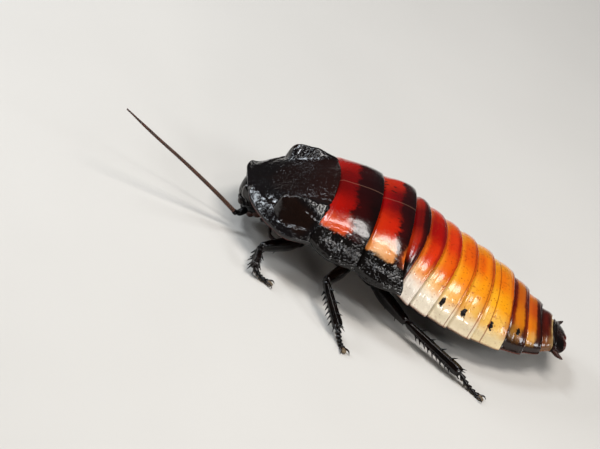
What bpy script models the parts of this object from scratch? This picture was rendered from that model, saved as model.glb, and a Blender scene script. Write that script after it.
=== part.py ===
"""Madagascar hissing cockroach, adult male, life size, standing on its six feet.

Lengths are in millimetres here and are turned into metres as each mesh is made.
The head points along -X, the left side along -Y, and the floor is z = 0. The body's own
frame starts at the front edge of the pronotum, on the midline; the last step moves the
whole animal so that the world origin is under the middle of its bounding box.
"""

import math
from dataclasses import dataclass

import bmesh
import bpy
from mathutils import Matrix, Vector

MM = 0.001
GAP = 0.3  # air left between two pieces that touch in life

# Driving sizes of the shield over the head.
PRONOTUM_LENGTH = 15.4
PRONOTUM_HALF_WIDTH = 13.0
PRONOTUM_FRONT_DEPTH = 11.0  # how far back its rounded front outline runs
PRONOTUM_PLAN_POWER = 1.58  # 1 is a pointed front, 2 an elliptic one
PRONOTUM_SHELL = 1.2
HORN_X = 7.5
HORN_Y = 8.9
HORN_HEIGHT = 2.9

# Driving sizes of the plates behind it. Each tergum ends at rear, on the midline.
LIP = 0.45  # how far a plate's rear edge stands over the next one
SIDES_TOP = 20  # facets across a plate, and as many across the belly
ARCH_POWER = 2.3
BELLY_POWER = 2.2


@dataclass(frozen=True)
class Station:
    """The body's cross-section where one plate ends, sizes taken at the midline."""

    plate: str
    rear: float
    half_width: float
    margin: float  # height of the side edge above the floor
    arch: float  # height of the back above the side edge
    belly: float  # depth of the belly under the side edge
    sweep: float  # how far back the side corner lies from the midline
    sweep_power: float = 2.2  # a high one keeps the edge straight up to a side lobe
    inset: float = 0.0  # how much narrower its front is than the plate before
    drop: float = 0.0  # how much lower its front side edge is than the plate before


STATIONS = (
    Station("pronotum", 15.4, 13.2, 9.2, 6.2, 3.6, -1.2),
    Station("mesonotum", 23.4, 13.8, 8.7, 7.2, 3.4, -0.6),
    Station("metanotum", 29.8, 14.2, 8.5, 7.4, 3.0, 1.5, 12.0),
    Station("tergum_1", 33.3, 13.1, 7.1, 8.0, 2.8, -1.8, inset=1.2, drop=1.0),
    Station("tergum_2", 37.0, 13.1, 6.2, 8.0, 2.9, -2.4),
    Station("tergum_3", 40.4, 12.8, 5.5, 7.9, 3.0, -2.0),
    Station("tergum_4", 44.0, 12.5, 5.0, 7.7, 3.0, -1.5),
    Station("tergum_5", 47.9, 11.9, 4.6, 7.2, 2.8, -0.6),
    Station("tergum_6", 52.6, 10.5, 4.4, 6.0, 2.4, 0.5),
    Station("tergum_7", 56.3, 8.7, 4.5, 4.5, 2.0, 1.0),
    Station("tergum_8", 59.5, 6.6, 4.9, 3.0, 1.7, 1.1),
    Station("tergum_9", 62.3, 4.6, 5.4, 2.0, 1.4, 0.8),
)
TAIL_END = 65.0

# The middle of the body under the plates of the thorax.
THORAX_BLOCKS = (
    ("prothorax", 8.6, 15.0, 6.4),
    ("mesothorax", 15.4, 22.8, 7.6),
    ("metathorax", 23.2, 29.6, 7.8),
)
THORAX_DEPTH = 4.6  # under the side edge of the plates
PLATE_EDGE = 0.8  # thickness of the thorax plates' free side edge

HEAD_CENTRE = (3.8, 0.0, 5.4)
HEAD_HALF = (2.9, 4.1, 4.2)  # through the face, across, and from mouth to crown
HEAD_TILT = math.radians(24)  # crown forwards

LIMB_SIDES = 8
BLACK = (0.012, 0.010, 0.010)
DARK_RED = (0.16, 0.015, 0.006)
RED_BROWN = (0.30, 0.045, 0.010)
AMBER = (0.62, 0.24, 0.035)
STRAW = (0.66, 0.42, 0.16)


def finish(name, colour, roughness):
    """A glossy horn-like material."""
    material = bpy.data.materials.new(name)
    material.use_nodes = True
    shader = material.node_tree.nodes["Principled BSDF"]
    shader.inputs["Base Color"].default_value = (*colour, 1.0)
    shader.inputs["Roughness"].default_value = roughness
    shader.inputs["Metallic"].default_value = 0.0
    return material


def lerp(a, b, share):
    return a + (b - a) * share


def smooth_step(low, high, value):
    share = min(1.0, max(0.0, (value - low) / (high - low)))
    return share * share * (3 - 2 * share)


def along_body(field, x):
    """A size of the stations at x, on a smooth curve through them all."""
    rows = [(s.rear, getattr(s, field)) for s in STATIONS]
    if x <= rows[0][0]:
        return rows[0][1]
    if x >= rows[-1][0]:
        return rows[-1][1]
    i = next(n for n in range(len(rows) - 1) if rows[n + 1][0] >= x)
    (x0, y0), (x1, y1) = rows[i], rows[i + 1]
    before = rows[max(i - 1, 0)]
    after = rows[min(i + 2, len(rows) - 1)]
    slope0 = (y1 - before[1]) / (x1 - before[0])
    slope1 = (after[1] - y0) / (after[0] - x0)
    step = x1 - x0
    t = (x - x0) / step
    return (
        (2 * t**3 - 3 * t**2 + 1) * y0
        + (t**3 - 2 * t**2 + t) * step * slope0
        + (3 * t**2 - 2 * t**3) * y1
        + (t**3 - t**2) * step * slope1
    )


def bow(share, power):
    """Height of a rounded arch, 1 in the middle and 0 at share 1."""
    return max(0.0, 1 - min(1.0, abs(share)) ** power) ** (1 / power)


def across(count):
    """Shares from -1 to 1, closer together near the side edges."""
    return [-math.cos(math.pi * j / count) for j in range(count + 1)]


def mesh_object(name, points, faces, material, origin=(0.0, 0.0, 0.0)):
    """An object from points in millimetres, with its faces turned outwards and its origin at the given place."""
    mesh = bpy.data.meshes.new(name)
    start = Vector(origin)
    mesh.from_pydata([(Vector(p) - start) * MM for p in points], [], faces)
    work = bmesh.new()
    work.from_mesh(mesh)
    bmesh.ops.recalc_face_normals(work, faces=work.faces)
    if work.calc_volume(signed=True) < 0:
        bmesh.ops.reverse_faces(work, faces=work.faces)
    work.to_mesh(mesh)
    work.free()
    mesh.materials.append(material)
    obj = bpy.data.objects.new(name, mesh)
    obj.location = start * MM
    bpy.context.scene.collection.objects.link(obj)
    obj.parent = bpy.data.objects["cockroach"]
    return obj


def loft(rings, caps):
    """Points and faces of a skin over rings of equal count. caps makes the faces that close one ring."""
    count = len(rings[0])
    points = [p for ring in rings for p in ring]
    faces = []
    for i in range(len(rings) - 1):
        for j in range(count):
            a, b = i * count + j, i * count + (j + 1) % count
            faces.append((a, b, b + count, a + count))
    faces += caps(0, count)
    faces += [tuple(reversed(f)) for f in caps((len(rings) - 1) * count, count)]
    return points, faces


def strip_cap(first, count):
    """Closes a plate's ring with strips from its top down to its belly."""
    half = count // 2
    faces = []
    for j in range(half):
        low, low_next = (count - j) % count, (count - j - 1) % count
        corners = [j, j + 1, low_next, low]
        faces.append(tuple(first + c for c in dict.fromkeys(corners)))
    return faces


def whole_cap(first, count):
    """Closes a flat ring with one face."""
    return [tuple(range(first, first + count))]


def keep_largest(obj):
    """Keeps only the largest closed surface of a mesh."""
    work = bmesh.new()
    work.from_mesh(obj.data)
    left = set(work.faces)
    shells = []
    while left:
        shell, edge = set(), [left.pop()]
        while edge:
            face = edge.pop()
            shell.add(face)
            for near in (f for e in face.edges for f in e.link_faces):
                if near in left:
                    left.discard(near)
                    edge.append(near)
        shells.append(shell)

    def extent(shell):
        points = [v.co for f in shell for v in f.verts]
        return math.prod(max(p[k] for p in points) - min(p[k] for p in points) for k in range(3))

    kept = max(shells, key=extent)
    bmesh.ops.delete(work, geom=[f for f in work.faces if f not in kept], context="FACES")
    work.to_mesh(obj.data)
    work.free()


def combine(obj, others, operation):
    """One Boolean of obj with the other closed meshes, applied, with the others then removed."""
    group = bpy.data.collections.new(obj.name + "_" + operation.lower())
    bpy.context.scene.collection.children.link(group)
    for other in others:
        group.objects.link(other)
    step = obj.modifiers.new(operation.lower(), "BOOLEAN")
    step.operation = operation
    step.operand_type = "COLLECTION"
    step.collection = group
    step.solver = "EXACT"
    bpy.context.view_layer.update()
    graph = bpy.context.evaluated_depsgraph_get()
    made = bpy.data.meshes.new_from_object(obj.evaluated_get(graph))
    obj.modifiers.clear()
    obj.data = made
    for other in others:
        bpy.data.objects.remove(other)
    bpy.data.collections.remove(group)
    keep_largest(obj)


# The pronotum: a domed shield with a flat brim and two blunt horns.


def sweep_at(station, y):
    """How far behind the midline a plate's edge lies at y."""
    return station.sweep * min(1.1, abs(y / station.half_width)) ** station.sweep_power


def pronotum_outline(y):
    """x of the shield's front outline at y."""
    return PRONOTUM_FRONT_DEPTH * (1 - bow(y / PRONOTUM_HALF_WIDTH, PRONOTUM_PLAN_POWER))


def pronotum_rear(y):
    """x of the shield's rear edge at y."""
    return PRONOTUM_LENGTH + sweep_at(STATIONS[0], y)


def pronotum_dome(x, y):
    """Height of the plain dome, before horns and hollows."""
    ahead = max(0.0, (PRONOTUM_FRONT_DEPTH - x) / PRONOTUM_FRONT_DEPTH)
    power = PRONOTUM_PLAN_POWER
    share = min(1.0, (abs(y / PRONOTUM_HALF_WIDTH) ** power + ahead**power) ** (1 / power))
    rim = 8.3 + 1.7 * math.exp(-((x / 1.6) ** 2)) + 1.1 * smooth_step(9.0, 15.4, x)
    crest = lerp(10.5, 15.6, x / PRONOTUM_LENGTH)
    sink = 0.5 * (1 - smooth_step(9.0, 15.4, x)) * smooth_step(1.0, 0.8, share)
    return rim + (crest - rim) * bow(share, 1.8) - sink


def pronotum_top(x, y):
    """Height of the shield's upper face."""
    side = abs(y)
    ahead = x - HORN_X
    lengthwise = smooth_step(-1.9, -0.3, ahead) * math.exp(-((max(ahead, 0.0) / 6.6) ** 2))
    sideways = math.exp(-(((side - HORN_Y) / (1.35 if side > HORN_Y else 1.8)) ** 2))
    horn = HORN_HEIGHT * lengthwise * sideways
    hollow = 1.2 * math.exp(-((x - 6.0) / 4.0) ** 2 - (y / 4.2) ** 2)
    flank = 1.0 * math.exp(-((x - 10.6) / 2.8) ** 2 - ((side - 11.0) / 1.1) ** 2)
    return pronotum_dome(x, y) + horn - hollow - flank


def pronotum_under(x, y):
    side = smooth_step(13.0, 9.5, abs(y))
    return pronotum_dome(x, y) - PRONOTUM_SHELL - 0.9 * smooth_step(5.0, 9.0, x) * side


def build_pronotum(name, grow, material):
    """Two grids on one plan, joined round their edge. The lower one is let down by grow."""
    across_count, along_count = 28, 16
    plan = []
    for share in across(across_count):
        y = PRONOTUM_HALF_WIDTH * math.sin(share * math.pi / 2)
        front, rear = pronotum_outline(y), pronotum_rear(y)
        plan.append([(lerp(front, rear, i / along_count), y) for i in range(along_count + 1)])
    rows, columns = across_count + 1, along_count + 1
    points = [(x, y, pronotum_top(x, y)) for line in plan for x, y in line]
    for j, line in enumerate(plan):
        for i, (x, y) in enumerate(line):
            edge = 0.45 if j in (0, rows - 1) or i in (0, columns - 1) else 1.0
            drop = (pronotum_dome(x, y) - pronotum_under(x, y)) * edge
            points.append((x, y, pronotum_dome(x, y) - drop - grow))
    faces = []
    lower = rows * columns
    for j in range(rows - 1):
        for i in range(columns - 1):
            a = j * columns + i
            faces.append((a, a + 1, a + columns + 1))
            faces.append((a, a + columns + 1, a + columns))
            faces.append((lower + a, lower + a + columns + 1, lower + a + 1))
            faces.append((lower + a, lower + a + columns, lower + a + columns + 1))
    rim = [j * columns for j in range(rows)]
    rim += [(rows - 1) * columns + i for i in range(1, columns)]
    rim += [j * columns + columns - 1 for j in range(rows - 2, -1, -1)]
    rim += [i for i in range(columns - 2, 0, -1)]
    for a, b in zip(rim, rim[1:] + rim[:1]):
        faces.append((a, b, lower + b, lower + a))
    return mesh_object(name, points, faces, material, (PRONOTUM_LENGTH / 2, 0.0, 12.0))


# The other plates: bands of one long arched body, parted by thin cuts.


def body_ring(mid, edge_x, lift, under, inset=0.0, drop=0.0):
    """A ring round the body at the station mid. edge_x gives x at a distance y from the midline."""
    half = along_body("half_width", mid) + lift - inset
    margin = along_body("margin", mid) - drop
    arch = along_body("arch", mid) + lift
    shares = across(SIDES_TOP)
    top = [(edge_x(half * t), half * t, margin + arch * bow(t, ARCH_POWER)) for t in shares]
    low = [(edge_x(half * t), half * t, under(mid, t, margin)) for t in shares[-2:0:-1]]
    return top + low


def belly_under(mid, share, margin):
    """Height of the abdomen's belly."""
    return margin - along_body("belly", mid) * bow(share, BELLY_POWER)


def flat_under(mid, share, margin):
    """Height of the underside of a thorax plate, with a thin free edge."""
    return margin - PLATE_EDGE * bow(share, 6)


def build_band(front, rear, under, material):
    """One plate with what lies under it, between the rear edge of the plate before and its own."""
    steps = ((0.0, -0.05), (0.12, 0.05), (0.5, 0.3), (0.9, LIP), (1.0, LIP - 0.1))
    rings = []
    for share, lift in steps:
        mid = lerp(front.rear + GAP, rear.rear, share)

        def edge_x(y, share=share):
            start = front.rear + GAP + sweep_at(front, y) + rear.inset * abs(y / front.half_width) ** 6 / 4
            return lerp(start, rear.rear + sweep_at(rear, y), share)

        start_share = (1 - share) ** 2
        rings.append(body_ring(mid, edge_x, lift, under, rear.inset * start_share, rear.drop * start_share))
    points, faces = loft(rings, strip_cap)
    middle = ((front.rear + rear.rear) / 2, 0.0, rear.margin)
    return mesh_object(rear.plate, points, faces, material, middle)


def build_tail(name, grow, material):
    """The last, rounded plate over the vent, made larger all round by grow."""
    last = STATIONS[-1]
    start = last.rear + GAP
    steps = ((0.0, 0.97), (0.45, 0.92), (0.75, 0.76), (0.93, 0.5), (1.0, 0.22))
    middle_height = last.margin + 0.2
    rings = []
    for share, size in steps:
        x = lerp(start, TAIL_END + grow, share)
        size += grow / last.half_width
        ring = body_ring(last.rear, lambda y: x + (1 - share) * sweep_at(last, y), 0.1, belly_under)
        rings.append([(p[0], p[1] * size, lerp(middle_height, p[2], size)) for p in ring])
    points, faces = loft(rings, strip_cap)
    return mesh_object(name, points, faces, material, (start, 0.0, middle_height))


def block_top(x, y):
    """Height of the thorax under its plates, a gap below them."""
    if x < PRONOTUM_LENGTH:
        return pronotum_under(x, y) - GAP
    return along_body("margin", x) - PLATE_EDGE - GAP


def block_rings(first, last, half, grow):
    """Rings of one block of the thorax, made larger all round by grow."""
    rings = []
    for share, size in ((0.0, 0.82), (0.12, 0.96), (0.5, 1.0), (0.88, 0.96), (1.0, 0.82)):
        x = lerp(first - grow, last + grow, share)
        width = half * size + grow
        bottom = along_body("margin", x) - THORAX_DEPTH * lerp(1.0, size, 0.6) - grow
        shares = across(12)
        ring = []
        for t in shares:
            top = block_top(min(max(x, first), last), width * t)
            waist = min(top - 1.0, bottom + 2.0)
            ring.append((x, width * t, lerp(waist, top, bow(t, 4)) + (grow if abs(t) < 1 else 0)))
        for t in shares[-2:0:-1]:
            top = block_top(min(max(x, first), last), width * t)
            waist = min(top - 1.0, bottom + 2.0)
            ring.append((x, width * t, lerp(waist, bottom, bow(t, 2.4))))
        rings.append(ring)
    return rings


def build_block(name, first, last, half, grow, material):
    points, faces = loft(block_rings(first, last, half, grow), strip_cap)
    middle = ((first + last) / 2, 0.0, along_body("margin", (first + last) / 2) - 2.5)
    return mesh_object(name, points, faces, material, middle)


# The head, its eyes and mouthparts.


def head_frame():
    """Places head-local points: x through the face, y across, z from mouth to crown."""
    return Matrix.Translation(Vector(HEAD_CENTRE)) @ Matrix.Rotation(-HEAD_TILT, 4, "Y")


def head_point(azimuth, height, grow=0.0):
    """A point of the head's surface. Height runs from -1 at the mouth to 1 at the crown."""
    half_x, half_y, half_z = (h + grow for h in HEAD_HALF)
    reach = math.sqrt(max(0.0, 1 - abs(height) ** 2.2))
    jaw = 1 - 0.30 * smooth_step(0.1, -1.0, height)
    x = half_x * reach * math.cos(azimuth)
    y = half_y * reach * jaw * math.sin(azimuth)
    return Vector((x, y, half_z * height))


def ball(name, centre, half, frame, sides, rings, material):
    """A closed ellipsoid, its points carried by frame."""
    points = []
    for i in range(1, rings):
        height = -math.cos(math.pi * i / rings)
        reach = math.sin(math.pi * i / rings)
        for j in range(sides):
            turn = 2 * math.pi * j / sides
            local = Vector(
                (
                    centre[0] + half[0] * reach * math.cos(turn),
                    centre[1] + half[1] * reach * math.sin(turn),
                    centre[2] + half[2] * height,
                )
            )
            points.append(frame @ local)
    low = len(points)
    points.append(frame @ Vector((centre[0], centre[1], centre[2] - half[2])))
    points.append(frame @ Vector((centre[0], centre[1], centre[2] + half[2])))
    faces = []
    for i in range(rings - 2):
        for j in range(sides):
            a, b = i * sides + j, i * sides + (j + 1) % sides
            faces.append((a, b, b + sides, a + sides))
    last = (rings - 2) * sides
    for j in range(sides):
        faces.append((low, (j + 1) % sides, j))
        faces.append((low + 1, last + j, last + (j + 1) % sides))
    return mesh_object(name, points, faces, material, frame @ Vector(centre))


def build_head_shell(name, grow, material):
    """The head capsule alone."""
    frame = head_frame()
    sides, steps = 18, 10
    rings = []
    for i in range(steps + 1):
        height = -0.985 * math.cos(math.pi * i / steps)
        rings.append([frame @ head_point(2 * math.pi * j / sides, height, grow) for j in range(sides)])
    points, faces = loft(rings, whole_cap)
    return mesh_object(name, points, faces, material, HEAD_CENTRE)


EYE_PLACES = {"left": -1, "right": 1}
EYE_CENTRE = (-1.0, 3.25, 1.7)  # in the head's own frame, for the right side
EYE_HALF = (1.15, 0.95, 1.9)


def eye(side, grow, material):
    sign = EYE_PLACES[side]
    centre = (EYE_CENTRE[0], sign * EYE_CENTRE[1], EYE_CENTRE[2])
    half = tuple(h + grow for h in EYE_HALF)
    return ball("eye_" + side, centre, half, head_frame(), 12, 7, material)


def build_head(materials):
    """The capsule with its lip, jaws and antenna sockets, and the two eyes let into it."""
    frame = head_frame()
    head = build_head_shell("head", 0.0, materials["horn_black"])
    black = materials["horn_black"]
    pieces = [
        ball("lip", (-1.0, 0.0, -3.8), (0.8, 1.4, 0.85), frame, 10, 5, black),
        ball("face_plate", (-1.7, 0.0, -2.6), (1.1, 1.9, 1.6), frame, 10, 5, black),
    ]
    for sign in (-1, 1):
        pieces.append(ball("jaw", (0.1, sign * 1.4, -3.3), (1.2, 1.3, 1.5), frame, 10, 5, black))
        pieces.append(ball("socket", (-2.3, sign * 2.2, -0.3), (0.8, 0.9, 0.9), frame, 8, 5, black))
    combine(head, pieces, "UNION")
    combine(head, [eye("left", GAP, materials["eye"]), eye("right", GAP, materials["eye"])], "DIFFERENCE")
    eyes = [eye(side, 0.0, materials["eye"]) for side in EYE_PLACES]
    for piece in (head, *eyes):
        combine(piece, [build_pronotum("clear", GAP + 0.06, black)], "DIFFERENCE")
    return head


# Limbs: tapered rods along their own X, placed by a matrix.


def limb_matrix(start, end, roll=0.0):
    """A frame at start with X towards end and Z as near to upright as it can be."""
    forward = (Vector(end) - Vector(start)).normalized()
    side = Vector((0, 0, 1)).cross(forward).normalized()
    up = forward.cross(side)
    turn = Matrix((forward, side, up)).transposed().to_4x4()
    return Matrix.Translation(Vector(start)) @ turn @ Matrix.Rotation(roll, 4, "X")


def rod_rings(length, sections, sides, grow):
    """Rings of a rod along X with round ends. A section is (share of length, half width, half depth)."""
    rings = []
    for share, half_y, half_z in sections:
        middle = share - 0.5
        x = length * share + (grow * 2 * middle if share in (0.0, 1.0) else 0.0)
        ring = []
        for j in range(sides):
            turn = 2 * math.pi * j / sides
            ring.append((x, (half_y + grow) * math.cos(turn), (half_z + grow) * math.sin(turn)))
        rings.append(ring)
    return rings


def rod(name, start, end, sections, material, grow=0.0, roll=0.0, sides=LIMB_SIDES):
    """A closed rod from start to end as an object with its own place and turn."""
    length = (Vector(end) - Vector(start)).length
    points, faces = loft(rod_rings(length, sections, sides, grow), whole_cap)
    obj = mesh_object(name, points, faces, material)
    place = limb_matrix(start, end, roll)
    obj.matrix_local = Matrix.Translation(place.to_translation() * MM) @ place.to_3x3().to_4x4()
    return obj


def rounded(profile, width, depth):
    """Sections of a rod: (share, size) pairs of its profile with round ends added."""
    return [(share, size * width, size * depth) for share, size in profile]


COXA_HALF = (1.85, 1.45)
COXA_PROFILE = ((0.0, 0.55), (0.1, 0.85), (0.4, 1.0), (0.75, 0.8), (0.93, 0.62), (1.0, 0.36))
FEMUR_PROFILE = ((0.0, 0.42), (0.05, 0.68), (0.3, 1.0), (0.6, 0.94), (0.9, 0.72), (0.97, 0.64), (1.0, 0.4))
TIBIA_PROFILE = ((0.0, 0.5), (0.06, 0.8), (0.3, 0.84), (0.75, 1.0), (0.95, 1.05), (1.0, 0.6))


@dataclass(frozen=True)
class Leg:
    """One leg by the places of its joints."""

    name: str
    root: tuple
    hip: tuple
    knee: tuple
    ankle: tuple
    toe: tuple
    femur_half: tuple
    tibia_half: tuple
    spines: int
    block: str


LEGS = (
    Leg("front_left", (9.8, -2.0, 5.3), (14.2, -5.6, 3.8), (7.3, -12.0, 3.3), (7.5, -16.2, 1.75),
        (10.6, -16.6, 0.36), (1.0, 1.25), (0.72, 0.78), 4, "prothorax"),
    Leg("middle_left", (18.6, -2.0, 4.7), (23.4, -6.4, 3.5), (19.5, -15.3, 4.8), (24.2, -22.3, 1.75),
        (26.0, -25.3, 0.36), (1.05, 1.3), (0.8, 0.88), 7, "mesothorax"),
    Leg("hind_left", (24.8, -2.0, 4.2), (29.2, -6.4, 2.9), (36.0, -13.1, 2.9), (47.6, -18.6, 1.7),
        (51.8, -20.6, 0.36), (1.05, 1.2), (0.82, 0.9), 9, "metathorax"),
    Leg("front_right", (9.8, 2.0, 5.3), (14.2, 5.6, 3.8), (8.6, 12.4, 3.6), (6.6, 16.6, 1.75),
        (8.6, 19.2, 0.36), (1.0, 1.25), (0.72, 0.78), 4, "prothorax"),
    Leg("middle_right", (18.6, 2.0, 4.7), (23.4, 6.4, 3.5), (21.6, 15.4, 4.6), (27.4, 21.4, 1.75),
        (30.6, 23.4, 0.36), (1.05, 1.3), (0.8, 0.88), 7, "mesothorax"),
    Leg("hind_right", (24.8, 2.0, 4.2), (29.2, 6.4, 2.9), (35.6, 13.4, 2.9), (46.2, 20.4, 1.7),
        (49.6, 23.6, 0.36), (1.05, 1.2), (0.82, 0.9), 9, "metathorax"),
)

SPINE_SIDES = 4
SPINE_LENGTH = 1.15
SPINE_RADIUS = 0.3
TARSUS_JOINTS = 5
SOLE = 0.0  # height of the flat under each foot


def spike(name, root, tip, radius, material, sides=SPINE_SIDES):
    """A tapered spine with its root sunk in what it grows from."""
    return rod(name, root, tip, [(0.0, radius, radius), (1.0, radius * 0.2, radius * 0.2)], material, sides=sides)


def tibia_spines(leg, material):
    """Two rows of spines along the lower side, longer towards the ankle, and a crown at its end."""
    frame = limb_matrix(leg.knee, leg.ankle)
    length = (Vector(leg.ankle) - Vector(leg.knee)).length
    forward = Vector((1, 0, 0))
    spines = []
    for row, angle in enumerate((-150, -30, 75)):
        count = leg.spines if row < 2 else leg.spines // 2
        for k in range(count):
            share = lerp(0.22, 0.86, (k + 0.5 * (row == 1)) / max(1, count - 0.5 * (row != 1)))
            turn = math.radians(angle + 10 * math.sin(2.4 * k + row))
            out = Vector((0, math.cos(turn), math.sin(turn)))
            size = lerp(0.75, 1.15, share) * SPINE_LENGTH
            root = forward * length * share + out * 0.25
            tip = root + out * (size + 0.3) + forward * size * 0.75
            spines.append(spike("spine", frame @ root, frame @ tip, SPINE_RADIUS, material))
    return spines


def foot_points(leg):
    """The line of the foot's joints, from the ankle down to the floor."""
    ankle, toe = Vector(leg.ankle), Vector(leg.toe)
    points = []
    for k in range(TARSUS_JOINTS + 1):
        share = k / TARSUS_JOINTS
        place = ankle.lerp(toe, share)
        place.z = lerp(ankle.z, toe.z, 1 - (1 - share) ** 2.2)
        points.append(place)
    return points


def foot_piece(name, start, end, half, material, grow=0.0):
    """One joint of the foot, wider at its far end, flat where it meets the floor."""
    sections = [(0.0, half * 0.6, half * 0.6), (0.7, half, half * 0.95), (1.0, half * 0.66, half * 0.62)]
    return rod(name, start, end, sections, material, grow=grow, sides=6)


def flatten_sole(obj):
    """Presses what would reach under the floor up to it."""
    world = obj.matrix_local.copy()
    back = world.inverted()
    for vertex in obj.data.vertices:
        place = world @ vertex.co
        if place.z < SOLE:
            place.z = SOLE
            vertex.co = back @ place


def build_foot(leg, material):
    """The jointed foot with its pad and two claws."""
    points = foot_points(leg)
    ahead = (points[-1] - points[-2]).normalized()
    side = Vector((0, 0, 1)).cross(ahead).normalized()
    halves = (0.62, 0.58, 0.56, 0.54, 0.58)
    main = foot_piece("foot_" + leg.name, points[0], points[1] + (points[1] - points[0]) * 0.25, halves[0], material)
    pieces = []
    for k in range(1, TARSUS_JOINTS):
        step = points[k + 1] - points[k]
        pieces.append(foot_piece("joint", points[k] - step * 0.2, points[k + 1] + step * 0.15, halves[k], material))
    level = Vector((ahead.x, ahead.y, 0)).normalized()
    pad_start = points[-1] - level * 0.4
    pad_sections = [(0.0, 0.4, 0.3), (0.25, 0.68, 0.5), (0.75, 0.68, 0.5), (1.0, 0.3, 0.25)]
    pieces.append(rod("pad", pad_start, pad_start + level * 1.5, pad_sections, material, sides=6))
    for sign in (-1, 1):
        root = points[-1] + side * sign * 0.25
        knuckle = root + ahead * 0.8 + side * sign * 0.55 + Vector((0, 0, 0.25))
        tip = knuckle + ahead * 0.7 + side * sign * 0.3 - Vector((0, 0, 0.35))
        pieces.append(spike("claw", root, knuckle + (knuckle - root) * 0.15, 0.28, material))
        pieces.append(spike("claw_tip", knuckle - (tip - knuckle) * 0.25, tip, 0.24, material))
    combine(main, pieces, "UNION")
    flatten_sole(main)
    return main


def build_leg(leg, materials):
    """The leg's four nodes, each cut clear of what it grows from."""
    black = materials["horn_black"]
    thorax = next(b for b in THORAX_BLOCKS if b[0] == leg.block)
    coxa_sections = rounded(COXA_PROFILE, *COXA_HALF)
    femur_sections = rounded(FEMUR_PROFILE, *leg.femur_half)
    tibia_sections = rounded(TIBIA_PROFILE, *leg.tibia_half)
    coxa = rod("coxa_" + leg.name, leg.root, leg.hip, coxa_sections, black)
    combine(coxa, [build_block("clear", *thorax[1:], GAP, black)], "DIFFERENCE")
    femur = rod("femur_" + leg.name, leg.hip, leg.knee, femur_sections, black)
    clear = [rod("clear", leg.root, leg.hip, coxa_sections, black, grow=GAP)]
    clear.append(build_block("clear_block", *thorax[1:], GAP, black))
    combine(femur, clear, "DIFFERENCE")
    tibia = rod("tibia_" + leg.name, leg.knee, leg.ankle, tibia_sections, black)
    combine(tibia, tibia_spines(leg, black), "UNION")
    combine(tibia, [rod("clear", leg.hip, leg.knee, femur_sections, black, grow=GAP)], "DIFFERENCE")
    foot = build_foot(leg, black)
    combine(foot, [rod("clear", leg.knee, leg.ankle, tibia_sections, black, grow=GAP)], "DIFFERENCE")


# Feelers: a bent base and a ringed lash in two lengths.

ANTENNAE = {
    "left": (
        (3.3, -3.9, 4.0),
        (1.9, -5.0, 2.95),
        (-3.3, -5.3, 5.3),
        (-10.3, -6.0, 8.3),
        (-17.1, -6.6, 10.9),
        (-23.6, -7.2, 13.6),
    ),
    "right": (
        (3.3, 3.9, 4.0),
        (3.4, 6.4, 4.4),
        (6.4, 12.2, 6.6),
        (14.5, 16.4, 7.2),
        (23.0, 17.6, 7.2),
        (31.0, 16.4, 7.4),
    ),
}
LASH_RADIUS = 0.42
LASH_TIP_RADIUS = 0.25
LASH_RINGS = 36


def curve_points(points, count):
    """count + 1 places on a smooth curve through the points."""
    line = [Vector(p) for p in points]
    ends = [line[0] * 2 - line[1]] + line + [line[-1] * 2 - line[-2]]
    places = []
    spans = len(line) - 1
    for k in range(count + 1):
        at = k / count * spans
        i = min(int(at), spans - 1)
        t = at - i
        p0, p1, p2, p3 = ends[i : i + 4]
        places.append(
            0.5 * ((2 * p1) + (p2 - p0) * t + (2 * p0 - 5 * p1 + 4 * p2 - p3) * t**2
                   + (3 * p1 - p0 - 3 * p2 + p3) * t**3)
        )
    return places


def tube(name, places, radii, material, sides=6):
    """A closed tube through places, with a radius at each."""
    rings = []
    for k, place in enumerate(places):
        ahead = (places[min(k + 1, len(places) - 1)] - places[max(k - 1, 0)]).normalized()
        side = Vector((0, 0, 1)).cross(ahead).normalized()
        up = ahead.cross(side)
        ring = []
        for j in range(sides):
            turn = 2 * math.pi * j / sides
            ring.append(place + (side * math.cos(turn) + up * math.sin(turn)) * radii[k])
        rings.append(ring)
    points, faces = loft(rings, whole_cap)
    return mesh_object(name, points, faces, material, places[0])


def build_antenna(side, materials):
    """The base that leaves the head, then the lash, parted in the middle."""
    route = ANTENNAE[side]
    black = materials["horn_black"]
    start, elbow = Vector(route[0]), Vector(route[1])
    base_sections = [(0.0, 0.5, 0.5), (0.3, 0.62, 0.62), (0.8, 0.6, 0.6), (0.95, 0.5, 0.5), (1.0, 0.34, 0.34)]
    base = rod("antenna_base_" + side, start, elbow, base_sections, black)
    combine(base, [build_head_shell("clear", GAP, black)], "DIFFERENCE")
    lash = curve_points(route[1:], LASH_RINGS * 2)
    radii = []
    for k in range(len(lash)):
        radius = lerp(LASH_RADIUS, LASH_TIP_RADIUS, k / (len(lash) - 1))
        radii.append(radius * (0.86 if k % 2 else 1.0))
    half = LASH_RINGS
    inner = tube("antenna_lash_" + side, lash[: half + 1], radii[: half + 1], black)
    combine(inner, [rod("clear", start, elbow, base_sections, black, grow=GAP)], "DIFFERENCE")
    shift = (lash[half + 1] - lash[half]).normalized() * GAP
    outer_places = [lash[half] + shift] + lash[half + 1 :]
    tube("antenna_tip_" + side, outer_places, radii[half:], materials["horn_brown"])


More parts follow.
